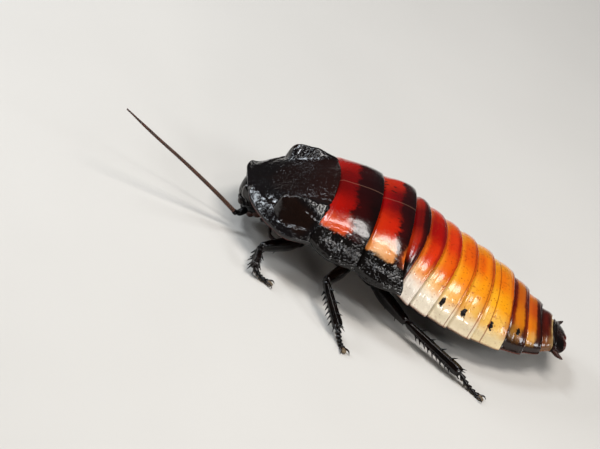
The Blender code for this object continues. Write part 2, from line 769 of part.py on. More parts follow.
def build_palp(side, materials):
    """The jointed feeler beside the mouth."""
    sign = EYE_PLACES[side]
    route = [Vector((x, sign * y, z)) for x, y, z in
             ((6.4, 2.6, 2.6), (7.7, 5.2, 3.9), (8.9, 6.3, 2.6), (10.9, 6.2, 2.3))]
    black = materials["horn_black"]
    main = rod("palp_" + side, route[0], route[1], [(0.0, 0.3, 0.3), (0.8, 0.36, 0.36), (1.0, 0.3, 0.3)], black)
    pieces = []
    for a, b in zip(route[1:], route[2:]):
        reach = (b - a) * 0.08
        pieces.append(rod("joint", a - reach, b + reach, [(0.0, 0.26, 0.26), (0.8, 0.34, 0.34), (1.0, 0.27, 0.27)],
                          black, sides=8))
    combine(main, pieces, "UNION")
    combine(main, [build_head_shell("clear", GAP, black)], "DIFFERENCE")


def build_cercus(side, materials):
    """The short cone beside the tail."""
    sign = EYE_PLACES[side]
    root = Vector((63.4, sign * 3.9, 5.1))
    tip = Vector((65.3, sign * 6.1, 5.6))
    sections = [(0.0, 0.4, 0.4), (0.4, 0.5, 0.45), (0.8, 0.36, 0.34), (1.0, 0.16, 0.16)]
    cercus = rod("cercus_" + side, root, tip, sections, materials["horn_brown"])
    combine(cercus, [build_tail("clear", GAP, materials["horn_brown"])], "DIFFERENCE")


PLATE_FINISH = {
    "mesonotum": "horn_red",
    "metanotum": "horn_red",
    "tergum_1": "horn_red",
    "tergum_2": "horn_red",
    "tergum_3": "horn_amber",
    "tergum_4": "horn_amber",
    "tergum_5": "horn_amber",
    "tergum_6": "horn_amber",
    "tergum_7": "horn_brown",
    "tergum_8": "horn_amber",
    "tergum_9": "horn_brown",
}


def centre_origin(root):
    """Moves the animal so that the origin lies on the floor under the middle of its box."""
    bpy.context.view_layer.update()
    corners = [o.matrix_world @ v.co for o in bpy.data.objects if o.type == "MESH" for v in o.data.vertices]
    middle = [(min(c[k] for c in corners) + max(c[k] for c in corners)) / 2 for k in (0, 1)]
    root.location = (-middle[0], -middle[1], -min(c.z for c in corners))


def main():
    for old in list(bpy.data.objects):
        bpy.data.objects.remove(old, do_unlink=True)
    root = bpy.data.objects.new("cockroach", None)
    bpy.context.scene.collection.objects.link(root)
    materials = {
        "horn_black": finish("horn_black", BLACK, 0.22),
        "horn_red": finish("horn_red", RED_BROWN, 0.24),
        "horn_amber": finish("horn_amber", AMBER, 0.26),
        "horn_brown": finish("horn_brown", DARK_RED, 0.3),
        "eye": finish("eye", BLACK, 0.1),
    }
    build_pronotum("pronotum", 0.0, materials["horn_black"])
    for front, rear in zip(STATIONS, STATIONS[1:]):
        under = flat_under if rear.plate.endswith("notum") else belly_under
        build_band(front, rear, under, materials[PLATE_FINISH[rear.plate]])
    build_tail("tail_plate", 0.0, materials["horn_black"])
    for block in THORAX_BLOCKS:
        build_block(*block, 0.0, materials["horn_black"])
    build_head(materials)
    for leg in LEGS:
        build_leg(leg, materials)
    for side in EYE_PLACES:
        build_antenna(side, materials)
        build_palp(side, materials)
        build_cercus(side, materials)
    for obj in bpy.data.objects:
        if obj.type == "MESH":
            obj.data.shade_smooth()
            obj.data.set_sharp_from_angle(angle=math.radians(40))
    centre_origin(root)


main()
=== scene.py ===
"""A hissing cockroach in its shell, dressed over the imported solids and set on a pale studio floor."""

from __future__ import annotations

import functools
import logging
import math
from collections.abc import Callable, Iterable
from dataclasses import dataclass, field
from enum import Enum

import bpy
import numpy as np
from mathutils import Matrix, Vector, noise

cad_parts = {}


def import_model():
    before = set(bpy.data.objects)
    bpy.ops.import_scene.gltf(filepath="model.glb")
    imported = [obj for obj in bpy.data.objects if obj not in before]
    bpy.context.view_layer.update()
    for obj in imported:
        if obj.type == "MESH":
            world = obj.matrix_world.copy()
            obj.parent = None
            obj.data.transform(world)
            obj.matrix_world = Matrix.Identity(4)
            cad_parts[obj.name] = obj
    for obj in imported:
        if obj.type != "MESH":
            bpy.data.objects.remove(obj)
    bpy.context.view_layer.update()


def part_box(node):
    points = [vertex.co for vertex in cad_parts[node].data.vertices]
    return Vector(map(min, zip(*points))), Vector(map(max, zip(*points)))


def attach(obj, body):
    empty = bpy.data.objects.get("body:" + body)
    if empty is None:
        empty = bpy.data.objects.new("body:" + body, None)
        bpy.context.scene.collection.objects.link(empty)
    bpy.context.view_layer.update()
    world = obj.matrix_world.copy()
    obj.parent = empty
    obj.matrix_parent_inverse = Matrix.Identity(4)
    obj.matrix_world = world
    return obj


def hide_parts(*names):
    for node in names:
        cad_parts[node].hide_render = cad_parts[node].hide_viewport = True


Array = np.ndarray
Shape = Callable[[Array, Array], tuple[Array, Array]]
Stops = tuple[tuple[float, str], ...]
Triple = tuple[float, float, float]
Number = Array | float
Piece = bpy.types.Object
Profile = Iterable[tuple[float, float]]

MM = 0.001  # a millimetre in metres
GAP = 0.3  # between neighbouring plates
MERGE = 2e-6  # points closer than this, in metres, become one
TOP_SHARE = 0.78  # how much of a plate's columns lie on its upper face
REAR_OF_SHIELD = 15.4
LOG = logging.getLogger("cockroach")


class Slot(Enum):
    """The record's names for the finishes."""

    DARK = "dark_shell"
    RED = "red_shell"
    AMBER = "amber_shell"
    BROWN = "brown_shell"
    EYE = "eye"


class Side(Enum):
    """The side of the animal that a paired piece is on."""

    LEFT = -1
    RIGHT = 1

    @property
    def tag(self) -> str:
        """The side as it stands in a node's name."""
        return self.name.lower()


# Small maths on whole arrays of points.


def lerp(a: Number, b: Number, share: Number) -> Number:
    """Blends a, at share 0, into b, at share 1."""
    return a + (b - a) * share


def smooth(low: float, high: float, value: Array) -> Array:
    """Rises softly from 0 at low to 1 at high, which may be under low."""
    share = np.clip((value - low) / (high - low), 0.0, 1.0)
    return share * share * (3 - 2 * share)


def hump(value: Array, centre: float, width: float) -> Array:
    """A bell of height 1 at centre, fallen to 0.37 at a distance of width."""
    return np.exp(-(((value - centre) / width) ** 2))


def bow(share: Array, power: float) -> Array:
    """Height of a rounded arch, 1 in the middle and 0 at share 1."""
    return np.maximum(0.0, 1 - np.minimum(1.0, np.abs(share)) ** power) ** (1 / power)


def spline(knots: Profile, at: Array) -> Array:
    """Reads a smooth curve through knots.

    Args:
        knots: Pairs of place and value, in rising order.
        at: The places to read.

    Returns:
        The curve's values.
    """
    place, value = np.array(list(knots)).T
    after = np.minimum(np.arange(len(place)) + 1, len(place) - 1)
    before = np.maximum(np.arange(len(place)) - 1, 0)
    slope = (value[after] - value[before]) / (place[after] - place[before])
    at = np.clip(at, place[0], place[-1])
    i = np.clip(np.searchsorted(place, at) - 1, 0, len(place) - 2)
    step = place[i + 1] - place[i]
    t = (at - place[i]) / step
    return (
        (2 * t**3 - 3 * t**2 + 1) * value[i]
        + (t**3 - 2 * t**2 + t) * step * slope[i]
        + (3 * t**2 - 2 * t**3) * value[i + 1]
        + (t**3 - t**2) * step * slope[i + 1]
    )


def grain(points: Array, size: float, seed: float = 0.0) -> Array:
    """Soft unevenness from -1 to 1, its bumps of a size in millimetres. The seed moves them."""
    moved = points / size + seed
    return np.array([noise.noise(Vector(p)) for p in moved])


def stack(x: Array, y: Array, z: Array) -> Array:
    """Three rows of numbers as places."""
    return np.stack([x, y, z], axis=1)


def carry(frame: Matrix, points: Array) -> Array:
    """Places carried by a frame."""
    turn = np.array(frame)
    return points @ turn[:3, :3].T + turn[:3, 3]


# The body's sizes in millimetres, from the front of the shield backwards.


@dataclass(frozen=True)
class Station:
    """The rear edge of one plate."""

    plate: str
    rear: float
    half_width: float
    margin: float
    arch: float
    belly: float
    sweep: float
    sweep_power: float = 2.2
    inset: float = 0.0
    drop: float = 0.0

    def swept(self, y: Array) -> Array:
        """How far behind the midline the edge lies at y."""
        return self.sweep * np.minimum(1.1, np.abs(y / self.half_width)) ** self.sweep_power


STATIONS = (
    Station("pronotum", REAR_OF_SHIELD, 13.2, 9.2, 6.2, 3.6, -1.2),
    Station("mesonotum", 23.4, 13.8, 8.7, 7.2, 3.4, -0.6),
    Station("metanotum", 29.8, 14.2, 8.5, 7.4, 3.0, 1.5, 12.0),
    Station("tergum_1", 33.3, 13.1, 7.1, 8.0, 2.8, -1.8, inset=1.2, drop=1.0),
    Station("tergum_2", 37.0, 13.1, 6.2, 8.0, 2.9, -2.4),
    Station("tergum_3", 40.4, 12.8, 5.5, 7.9, 3.0, -2.0),
    Station("tergum_4", 44.0, 12.5, 5.0, 7.7, 3.0, -1.5),
    Station("tergum_5", 47.9, 11.9, 4.6, 7.2, 2.8, -0.6),
    Station("tergum_6", 52.6, 10.5, 4.4, 6.0, 2.4, 0.5),
    Station("tergum_7", 56.3, 8.7, 4.5, 4.5, 2.0, 1.0),
    Station("tergum_8", 59.5, 6.6, 4.9, 3.0, 1.7, 1.1),
    Station("tergum_9", 61.8, 4.6, 5.4, 2.0, 1.4, 0.8),
)


def body(size: str, x: Array) -> Array:
    """Reads one of the stations' sizes, by its name, at places along the body."""
    return spline([(s.rear, getattr(s, size)) for s in STATIONS], x)


# Shader maths.


class Sock:
    """A shader value that takes arithmetic."""

    def __init__(self, board: Board, socket: bpy.types.NodeSocket) -> None:
        """Wraps a socket of one of the board's nodes."""
        self.board, self.socket = board, socket

    def maths(self, operation: str, *values: Sock | float) -> Sock:
        """A Math node on the values."""
        return self.board.add("ShaderNodeMath", {"operation": operation}, dict(enumerate(values)))

    def __add__(self, other: Sock | float) -> Sock:
        """self + other"""
        return self.maths("ADD", self, other)

    __radd__ = __add__

    def __sub__(self, other: Sock | float) -> Sock:
        """self - other"""
        return self.maths("SUBTRACT", self, other)

    def __rsub__(self, other: Sock | float) -> Sock:
        """other - self"""
        return self.maths("SUBTRACT", other, self)

    def __mul__(self, other: Sock | float) -> Sock:
        """self * other"""
        return self.maths("MULTIPLY", self, other)

    __rmul__ = __mul__

    def __truediv__(self, other: Sock | float) -> Sock:
        """self / other"""
        return self.maths("DIVIDE", self, other)

    def __pow__(self, other: Sock | float) -> Sock:
        """self ** other"""
        return self.maths("POWER", self, other)

    def __abs__(self) -> Sock:
        """abs(self)"""
        return self.maths("ABSOLUTE", self)

    def __gt__(self, other: Sock | float) -> Sock:
        """1 where self is over other"""
        return self.maths("GREATER_THAN", self, other)


class Board:
    """The node board of one material."""

    def __init__(self, name: str) -> None:
        """Starts a material with an empty board.

        Args:
            name: The material's name.
        """
        self.material = bpy.data.materials.new(name)
        self.material.use_nodes = True
        self.tree = self.material.node_tree
        self.tree.nodes.clear()

    def add(
        self, kind: str, settings: dict | None = None, inputs: dict | None = None, out: int | str = 0
    ) -> Sock | None:
        """Adds one node.

        Args:
            kind: The node's type.
            settings: Its settings, set first. stops are those of a ramp.
            inputs: Values or links of its sockets, by name or number.
            out: The output to give back.

        Returns:
            That output, or nothing where the node has none.
        """
        node = self.tree.nodes.new(kind)
        for key, value in (settings or {}).items():
            if key == "stops":
                self.set_stops(node.color_ramp, value)
            else:
                setattr(node, key, value)
        for key, value in (inputs or {}).items():
            if isinstance(value, Sock):
                self.tree.links.new(value.socket, node.inputs[key])
            else:
                node.inputs[key].default_value = ink(value) if isinstance(value, str) else value
        return Sock(self, node.outputs[out]) if node.outputs else None

    def set_stops(self, ramp: bpy.types.ColorRamp, stops: Stops) -> None:
        """Gives a ramp its stops.

        Args:
            ramp: The ramp.
            stops: Pairs of place and colour.
        """
        ramp.interpolation = "B_SPLINE" if len(stops) > 6 else "EASE"
        while len(ramp.elements) < len(stops):
            ramp.elements.new(0.5)
        for element, (place, colour) in zip(ramp.elements, stops):
            element.position = place
            element.color = ink(colour)

    def millimetres(self) -> Sock:
        """Object coordinates in millimetres."""
        place = self.add("ShaderNodeTexCoord", out="Object")
        return self.add("ShaderNodeVectorMath", {"operation": "SCALE"}, {0: place, "Scale": 1 / MM})

    def marks(self) -> tuple[Sock, Sock]:
        """The piece's own map: its place across and along, each from 0 to 1.

        Returns:
            The place across and the place along.
        """
        both = self.add("ShaderNodeUVMap", {"uv_map": "UVMap"})
        across = self.add("ShaderNodeSeparateXYZ", None, {0: both}, "X")
        return across, self.add("ShaderNodeSeparateXYZ", None, {0: both}, "Y")

    def step(self, value: Sock, low: float, high: float) -> Sock:
        """Rises softly from 0 at low to 1 at high. low may be over high.

        Args:
            value: The value to read.
            low: Where the rise starts.
            high: Where it ends.

        Returns:
            The rise.
        """
        flip = low > high
        inputs = {"Value": value, "From Min": min(low, high), "From Max": max(low, high)}
        inputs |= {"To Min": float(flip), "To Max": float(not flip)}
        return self.add("ShaderNodeMapRange", {"interpolation_type": "SMOOTHSTEP"}, inputs)

    def mix(self, share: Sock | float, first: Sock | str, second: Sock | str) -> Sock:
        """Blends two colours."""
        return self.add("ShaderNodeMix", {"data_type": "RGBA"}, {0: share, 6: first, 7: second}, 2)

    def ramp(self, value: Sock, stops: Stops) -> Sock:
        """Colours read along stops."""
        return self.add("ShaderNodeValToRGB", {"stops": stops}, {0: value})

    def noise(self, place: Sock, size: float, detail: float = 2.0) -> Sock:
        """Soft clouds round 0.5, of a size in millimetres."""
        return self.add("ShaderNodeTexNoise", None, {"Vector": place, "Scale": 1 / size, "Detail": detail})

    def jostle(self, place: Sock, reach: float) -> Sock:
        """Places moved about by up to reach millimetres, so that round cells turn uneven.

        Args:
            place: Places in millimetres.
            reach: How far they move at most.

        Returns:
            The moved places.
        """
        cloud = self.add("ShaderNodeTexNoise", None, {"Vector": place, "Scale": 2.5}, "Color")
        push = self.add("ShaderNodeVectorMath", {"operation": "SCALE"}, {0: cloud, "Scale": 2 * reach})
        return self.add("ShaderNodeVectorMath", {"operation": "ADD"}, {0: place, 1: push})

    def cells(self, place: Sock, size: float, out: str = "Distance") -> Sock:
        """Distance from the middles of scattered cells of a size in millimetres, or their chance colours."""
        return self.add("ShaderNodeTexVoronoi", None, {"Vector": place, "Scale": 1 / size}, out)

    def finish(self, height: Sock, **inputs: Sock | float | str) -> bpy.types.Material:
        """Ends the board with its shader.

        Args:
            height: The surface's relief in millimetres.
            inputs: The shader's own sockets, with _ for a space.

        Returns:
            The material.
        """
        normal = self.add("ShaderNodeBump", None, {"Height": height, "Distance": MM})
        named = {key.replace("_", " "): value for key, value in inputs.items()}
        shader = self.add("ShaderNodeBsdfPrincipled", None, {"Normal": normal, **named})
        self.add("ShaderNodeOutputMaterial", None, {0: shader})
        return self.material


def ink(code: str) -> tuple[float, float, float, float]:
    """The shader's red, green, blue and alpha for six hex digits as shown on a screen."""
    shown = [int(code[i : i + 2], 16) / 255 for i in (0, 2, 4)]
    return (*[c / 12.92 if c < 0.04045 else ((c + 0.055) / 1.055) ** 2.4 for c in shown], 1.0)


# Finishes.


@dataclass(frozen=True)
class Horn:
    """Plain glossy horn, faintly mottled, with fine pores. It may change colour towards the piece's end."""

    name: str
    colour: str
    patches: str
    patch_size: float = 1.6
    rough: float = 0.2
    coat: float = 0.3
    level: float = 0.3
    pore: float = 0.02
    pore_size: float = 0.3
    wave: float = 0.05
    tip: str | None = None
    tip_from: float = 0.5
    rings: float = 0.0
    ring_colour: str = "8a5a30"

    def build(self) -> bpy.types.Material:
        """Makes the material.

        Returns:
            The material.
        """
        board = Board(self.name)
        place = board.millimetres()
        across, along = board.marks()
        clouds = board.noise(place, self.patch_size, 3.0)
        colour = board.mix(board.step(clouds, 0.42, 0.66), self.colour, self.patches)
        if self.tip:
            share = board.step(along + (clouds - 0.5) * 0.3, self.tip_from, 1.0)
            colour = board.mix(share, colour, self.tip)
        if self.rings:
            rings = along * self.rings
            far_end = board.step(rings.maths("FRACT", rings), 0.86, 0.99)
            colour = board.mix(far_end, colour, self.ring_colour)
        pores = board.step(board.cells(place, self.pore_size), 0.0, 0.5)
        height = pores * self.pore + board.noise(place, 1.1, 3.0) * self.wave
        rough = clouds * 0.14 + (self.rough - 0.05)
        shown = {"Base_Color": colour, "Roughness": rough, "Coat_Weight": self.coat}
        return board.finish(height, Specular_IOR_Level=self.level, Coat_Roughness=0.06, **shown)


@dataclass(frozen=True)
class Shell:
    """A plate's horn. Its colours run along it, and from the middle of the back to the sides. On some plates the
    pale side colours are partly painted sheen.
    """

    name: str
    spine: Stops
    back: Stops
    flank: Stops
    edge: str
    edge_from: float = 0.7
    rim: str = "7c3418"
    rim_from: float = 0.965
    streaks: float = 0.0
    wander: float = 0.12
    wall: float = 0.0
    wall_colour: str = "0c0908"
    speckle: float = 0.0
    spots: tuple[Triple, ...] = ()
    calm: tuple[tuple[float, float, float, float], ...] = ()
    crease: float = 0.0
    keel: float = 0.0
    rough: float = 0.24
    coat: float = 0.4
    level: float = 0.3
    pore: float = 0.012
    pore_size: float = 0.4
    granule: float = 0.0
    wave: float = 0.05
    fine: float = 0.02

    def build(self) -> bpy.types.Material:
        """Makes the material.

        Returns:
            The material.
        """
        board = Board(self.name)
        place = board.millimetres()
        across, along = board.marks()
        side = abs(across * 2 - 1)
        drift = board.noise(place, 2.4, 2.0) - 0.5
        ripple = board.noise(place, 0.6, 3.0) - 0.5
        run = along + drift * self.wander + ripple * (self.wander * 0.5)
        off = side + drift * 0.14 + ripple * 0.06
        colour = board.mix(board.step(off, 0.08, 0.34), board.ramp(run, self.spine), board.ramp(run, self.back))
        # Towards the sides the colour turns to the flank colour and then to the edge colour; on terga 2 to 6 and on
        # the metanotum these pale side colours are partly painted highlight.
        colour = board.mix(board.step(off, 0.42, 0.64), colour, board.ramp(run, self.flank))
        colour = board.mix(board.step(off, self.edge_from, self.edge_from + 0.22), colour, self.edge)
        colour = self.mark(board, place, side, along, drift, ripple, colour)
        margin = board.step(side, self.rim_from, 0.998)
        colour = board.mix(margin * 0.8, colour, self.rim)
        pores = board.step(board.cells(board.jostle(place, 0.25), self.pore_size), 0.0, 0.45)
        relief = pores * self.pore + board.noise(place, 0.55, 3.0) * self.fine
        for far, back, wide, long in self.calm:
            off = ((side - far) / wide) ** 2.0 + ((along - back) / long) ** 2.0
            relief = relief * board.step(off, 0.5, 1.2)
            colour = board.mix(board.step(off, 1.1, 0.4) * 0.7, colour, "180a04")
        height = relief + board.noise(place, 1.3, 3.0) * self.wave
        rough = ripple * 0.12 + margin * 0.25 + self.rough
        gloss: Sock | float = self.coat
        if self.wall:
            black = board.step(side + drift * 0.05 + ripple * 0.06, self.wall - 0.02, self.wall + 0.025)
            colour = board.mix(black, colour, self.wall_colour)
            height = height + black * board.noise(place, 0.45, 1.0) * self.granule
            rough = rough - black * 0.07
            gloss = black * (-0.5 * self.coat) + self.coat
        shown = {"Base_Color": colour, "Roughness": rough, "Coat_Weight": gloss}
        return board.finish(height, Specular_IOR_Level=self.level, Coat_Roughness=0.08, **shown)

    def scatter(
        self, board: Board, place: Sock, reach: float, size: float, edge: tuple[float, float], rare: float
    ) -> Sock:
        """Small dots, uneven in shape, on some of the cells.

        Args:
            board: The material's board.
            place: Places in millimetres.
            reach: How far the cells' places are moved about.
            size: The size of a cell.
            edge: The distances from a cell's middle where its dot ends and where it is full.
            rare: The share of the cells that stay empty.

        Returns:
            1 on the dots and 0 off them.
        """
        dots = board.step(board.cells(board.jostle(place, reach), size), *edge)
        chance = board.cells(board.jostle(place, reach), size, "Color")
        return dots * (board.add("ShaderNodeSeparateColor", None, {0: chance}) > rare)

    def mark(
        self, board: Board, place: Sock, side: Sock, along: Sock, drift: Sock, ripple: Sock, colour: Sock
    ) -> Sock:
        """Draws the small marks of the plate.

        Args:
            board: The material's board.
            place: Places in millimetres.
            side: 0 on the midline to 1 at the side edge.
            along: 0 at the front edge to 1 at the rear.
            drift: Broad unevenness round 0.
            ripple: Fine unevenness round 0.
            colour: The colour so far.

        Returns:
            The colour with its marks.
        """
        if self.speckle:
            dots = self.scatter(board, place, 0.15, 0.55, (0.3, 0.12), 0.55)
            mottle = board.step(board.noise(place, 0.5, 3.0), 0.5, 0.72) * board.step(drift, -0.06, 0.12) * 0.75
            shown = board.step(side, 0.84, 0.66) * 0.65 + 0.35
            share = dots.maths("MAXIMUM", dots, mottle) * shown * self.speckle
            colour = board.mix(share, colour, "8a2c06")
        if self.streaks:
            drawn = board.add("ShaderNodeVectorMath", {"operation": "MULTIPLY"}, {0: place, 1: (0.55, 1.1, 0.55)})
            dashes = self.scatter(board, drawn, 0.2, 1.0, (0.32, 0.16), 0.5)
            colour = board.mix(dashes * self.streaks, colour, "240806")
        for far, back, size in self.spots:
            sideways = (side + ripple * 0.07 - far) / 0.06
            lengthways = (along + ripple * 0.3 - back) / size / 0.72
            spot = board.step(sideways**2.0 + lengthways**2.0, 1.35, 0.8)
            colour = board.mix(spot, colour, "0c0806")
        if self.crease:
            colour = board.mix(board.step(abs(along - self.crease), 0.035, 0.008) * 0.7, colour, "7a2a04")
        if self.keel:
            colour = board.mix(board.step(side, 0.008, 0.003) * self.keel, colour, "b98a72")
        return colour


@dataclass(frozen=True)
class Facets:
    """The net of small lenses on a compound eye."""

    name: str = "eye_facets"

    def build(self) -> bpy.types.Material:
        """Makes the material.

        Returns:
            The material.
        """
        board = Board(self.name)
        place = board.millimetres()
        lens = board.cells(place, 0.16)
        colour = board.mix(board.step(lens, 0.3, 0.7), "040303", "120c09")
        height = board.step(lens, 0.7, 0.0) * 0.008
        return board.finish(height, Base_Color=colour, Roughness=0.12, Coat_Weight=0.3, Coat_Roughness=0.05)


@dataclass(frozen=True)
class Floor:
    """The pale matt studio floor."""

    name: str = "pale_floor"

    def build(self) -> bpy.types.Material:
        """Makes the material.

        Returns:
            The material.
        """
        board = Board(self.name)
        place = board.millimetres()
        colour = board.mix(board.noise(place, 40.0, 2.0), "c9c5bf", "c2beb8")
        height = board.noise(place, 0.5, 3.0) * 0.02
        return board.finish(height, Base_Color=colour, Roughness=0.85, Specular_IOR_Level=0.2)


def stops(words: str) -> Stops:
    """Reads pairs of place and colour, such as "0 5c0201, 0.3 600203"."""
    return tuple((float(place), code) for place, code in (pair.split() for pair in words.split(", ")))


@functools.cache
def dressed(finish: Horn | Shell | Facets | Floor) -> bpy.types.Material:
    """The one material made of a finish."""
    return finish.build()


LEG_HORN = Horn("leg_horn", "050303", "0e0604", rough=0.12, coat=0.25, level=0.2)
HEAD_HORN = Horn("head_horn", "050404", "0c0706", rough=0.12, coat=0.0, level=0.09, pore=0.006)
SOCKET_HORN = Horn("socket_horn", "140a07", "24110a", rough=0.25, coat=0.1)
CLAW_HORN = Horn("claw_horn", "1a0a05", "2a1208", rough=0.2, tip="060404", tip_from=0.35, pore=0.0)
JAW_HORN = Horn("jaw_horn", "2c1008", "3c190b", rough=0.2, tip="050303", tip_from=0.4, pore=0.0)
MOUTH_HORN = Horn("mouth_horn", "2e160d", "4a2412", rough=0.28, coat=0.3)
PALP_HORN = Horn("palp_horn", "140a07", "2a140b", rough=0.22, tip="4a2814", tip_from=0.8)
PAD_SKIN = Horn("pad_skin", "5e4e3a", "75634a", rough=0.5, coat=0.0, patch_size=0.5)
SKIN = Horn("joint_skin", "b59a6a", "8a6a40", rough=0.5, coat=0.1, patch_size=1.2, wave=0.2)
BELLY_HORN = Horn("belly_horn", "140704", "260e06", rough=0.24, coat=0.2, patch_size=3.0)
THORAX_HORN = Horn("thorax_skin", "3a2418", "5b3b26", rough=0.45, coat=0.1, patch_size=2.0, wave=0.2)
TAIL_HORN = Horn("tail_horn", "0a0504", "220a06", rough=0.24, coat=0.1, tip="561208", tip_from=0.7)
CERCUS_HORN = Horn("cercus_horn", "1c0c07", "38180c", rough=0.3, coat=0.2)

SHIELD_HORN = Shell(
    "shield_horn",
    stops("0 0c0605, 0.5 120705, 1 1c0906"),
    stops("0 0c0605, 0.5 120705, 1 1c0906"),
    stops("0 0b0808, 1 0c0808"),
    "0c0809", rim="5a160e", rim_from=0.992, rough=0.14, level=0.33,
    pore=0.035, pore_size=0.42, wave=0.04, fine=0.14, calm=((0.83, 0.5, 0.13, 0.36),),
)

PLATE_HORNS = (
    Shell(
        "mesonotum_horn",
        stops("0 5c0201, 0.3 600203, 0.46 200203, 1 120202"),
        stops("0 940b03, 0.34 840803, 0.51 2a0303, 1 0e0202"),
        stops("0 b8400f, 0.42 c0441a, 0.64 2c0f0c, 1 0e0605"),
        "0d0a0a", rim="3a100a", rim_from=0.985, wander=0.34, wall=0.69, keel=0.15,
        granule=0.12, pore=0.016, rough=0.18, coat=0.35,
    ),
    # Metanotum: the pale cream of its flank colours is partly painted highlight, standing in for the sheen on the
    # side of the plate.
    Shell(
        "metanotum_horn",
        stops("0 840304, 0.45 5c0306, 0.62 240304, 1 180203"),
        stops("0 b02606, 0.5 ac1c06, 0.68 300606, 1 160404"),
        stops("0 cc7a38, 0.3 dca878, 0.62 d08a50, 0.76 3a1c12, 0.9 5a2410, 1 c05a1c"),
        "0e0b0b", rim="3a100a", rim_from=0.985, wander=0.3, wall=0.71, keel=0.13,
        streaks=0.9, granule=0.12, rough=0.18, coat=0.35,
    ),
    Shell(
        "tergum_1_horn",
        stops("0 760408, 0.45 620703, 0.62 240303, 0.92 180302, 1 6a2008"),
        stops("0 b8340f, 0.5 9c1c0b, 0.7 4a0604, 0.92 2a0302, 1 9a3a0c"),
        stops("0 100a09, 0.7 160c0a, 0.9 3a140a, 1 b04a14"),
        "15100e", wander=0.14,
    ),
    # Terga 2 to 6: their pale cream flank and silvery cream edge colours are partly the plates' own pale sides and
    # partly painted sheen, standing in for the broad highlight along the side margins.
    Shell(
        "tergum_2_horn",
        stops("0 a03008, 0.12 8c0502, 0.6 940602, 0.9 74040a, 1 a03a0c"),
        stops("0 cc6014, 0.3 bc2c04, 0.7 c42c08, 0.95 8c1805, 1 c0560e"),
        stops("0 dfae70, 0.3 d9914a, 0.8 d28030, 1 c2640e"),
        "ece0d0", edge_from=0.58, speckle=0.7,
    ),
    Shell(
        "tergum_3_horn",
        stops("0 cc5008, 0.25 c43008, 0.6 c4300a, 0.9 981004, 1 bc4a10"),
        stops("0 da8018, 0.35 d25a0a, 0.8 cc4c04, 0.95 a83408, 1 c8600c"),
        stops("0 e6c68a, 0.4 dc9c48, 0.9 d88c38, 1 c86c18"),
        "ecdfc8", edge_from=0.58, speckle=0.85,
    ),
    Shell(
        "tergum_4_horn",
        stops("0 e07c10, 0.3 d05406, 0.7 cc4e05, 0.95 b03a04, 1 c46410"),
        stops("0 e69c24, 0.4 de800a, 0.8 d87410, 0.95 c05c08, 1 d07c18"),
        stops("0 e6bc74, 0.5 dfa14a, 0.9 dc9c48, 1 cc7c24"),
        "e6d6b6", edge_from=0.64, speckle=0.9, spots=((0.74, 0.16, 0.15),), crease=0.87,
    ),
    Shell(
        "tergum_5_horn",
        stops("0 d86608, 0.3 d25804, 0.6 de7206, 0.95 bc4c08, 1 8a3408"),
        stops("0 e49c26, 0.5 e08a0c, 0.9 d47a14, 1 a85010"),
        stops("0 d89a40, 0.6 d8a44a, 1 c68434"),
        "e8d6b4", edge_from=0.66, speckle=0.9, spots=((0.728, 0.22, 0.15),), crease=0.88,
    ),
    Shell(
        "tergum_6_horn",
        stops("0 e08408, 0.4 d86a04, 0.75 dc7808, 0.92 c45806, 1 5a1004"),
        stops("0 e8a220, 0.6 e0900c, 0.88 d88814, 0.97 8c3404, 1 4a0c04"),
        stops("0 e0ae52, 0.7 deaa48, 0.95 b87430, 1 5c2408"),
        "e4cea0", edge_from=0.68, speckle=0.8, spots=((0.713, 0.36, 0.11),), crease=0.28,
    ),
    Shell(
        "tergum_7_horn",
        stops("0 4a0a02, 0.14 5a1002, 0.34 b05006, 0.62 b4560e, 0.8 5a1404, 1 4a0802"),
        stops("0 5a0e02, 0.12 6c1c04, 0.28 c0690c, 0.64 bc6a0c, 0.8 5c1403, 1 84300a"),
        stops("0 3c1a08, 0.15 8a5c1c, 0.55 8a5618, 0.75 421806, 1 5c2a0c"),
        "1c0d09", edge_from=0.63, spots=((0.612, 0.45, 0.14),), wander=0.2,
    ),
    Shell(
        "tergum_8_horn",
        stops("0 c25410, 0.5 a8400c, 0.66 380a02, 1 160302"),
        stops("0 d4700e, 0.45 b8600c, 0.66 4a1204, 1 180303"),
        stops("0 cc8c34, 0.4 c48c44, 0.6 3c1a10, 1 140806"),
        "241410", edge_from=0.66, wander=0.18,
    ),
    Shell(
        "tergum_9_horn",
        stops("0 300804, 0.4 4c1008, 0.8 340a05, 1 6a3a18"),
        stops("0 3c0e04, 0.5 420e06, 0.8 5a2a12, 1 8a6a38"),
        stops("0 6a3210, 0.5 6c4020, 1 8a6a40"),
        "6c4a30", wander=0.14,
    ),
)
PLATE_FINISHES = {horn.name.removesuffix("_horn"): horn for horn in PLATE_HORNS}
RED_PLATES = ("mesonotum", "metanotum", "tergum_1", "tergum_2")
BROWN_PLATES = ("tergum_7", "tergum_9")


# The bench.


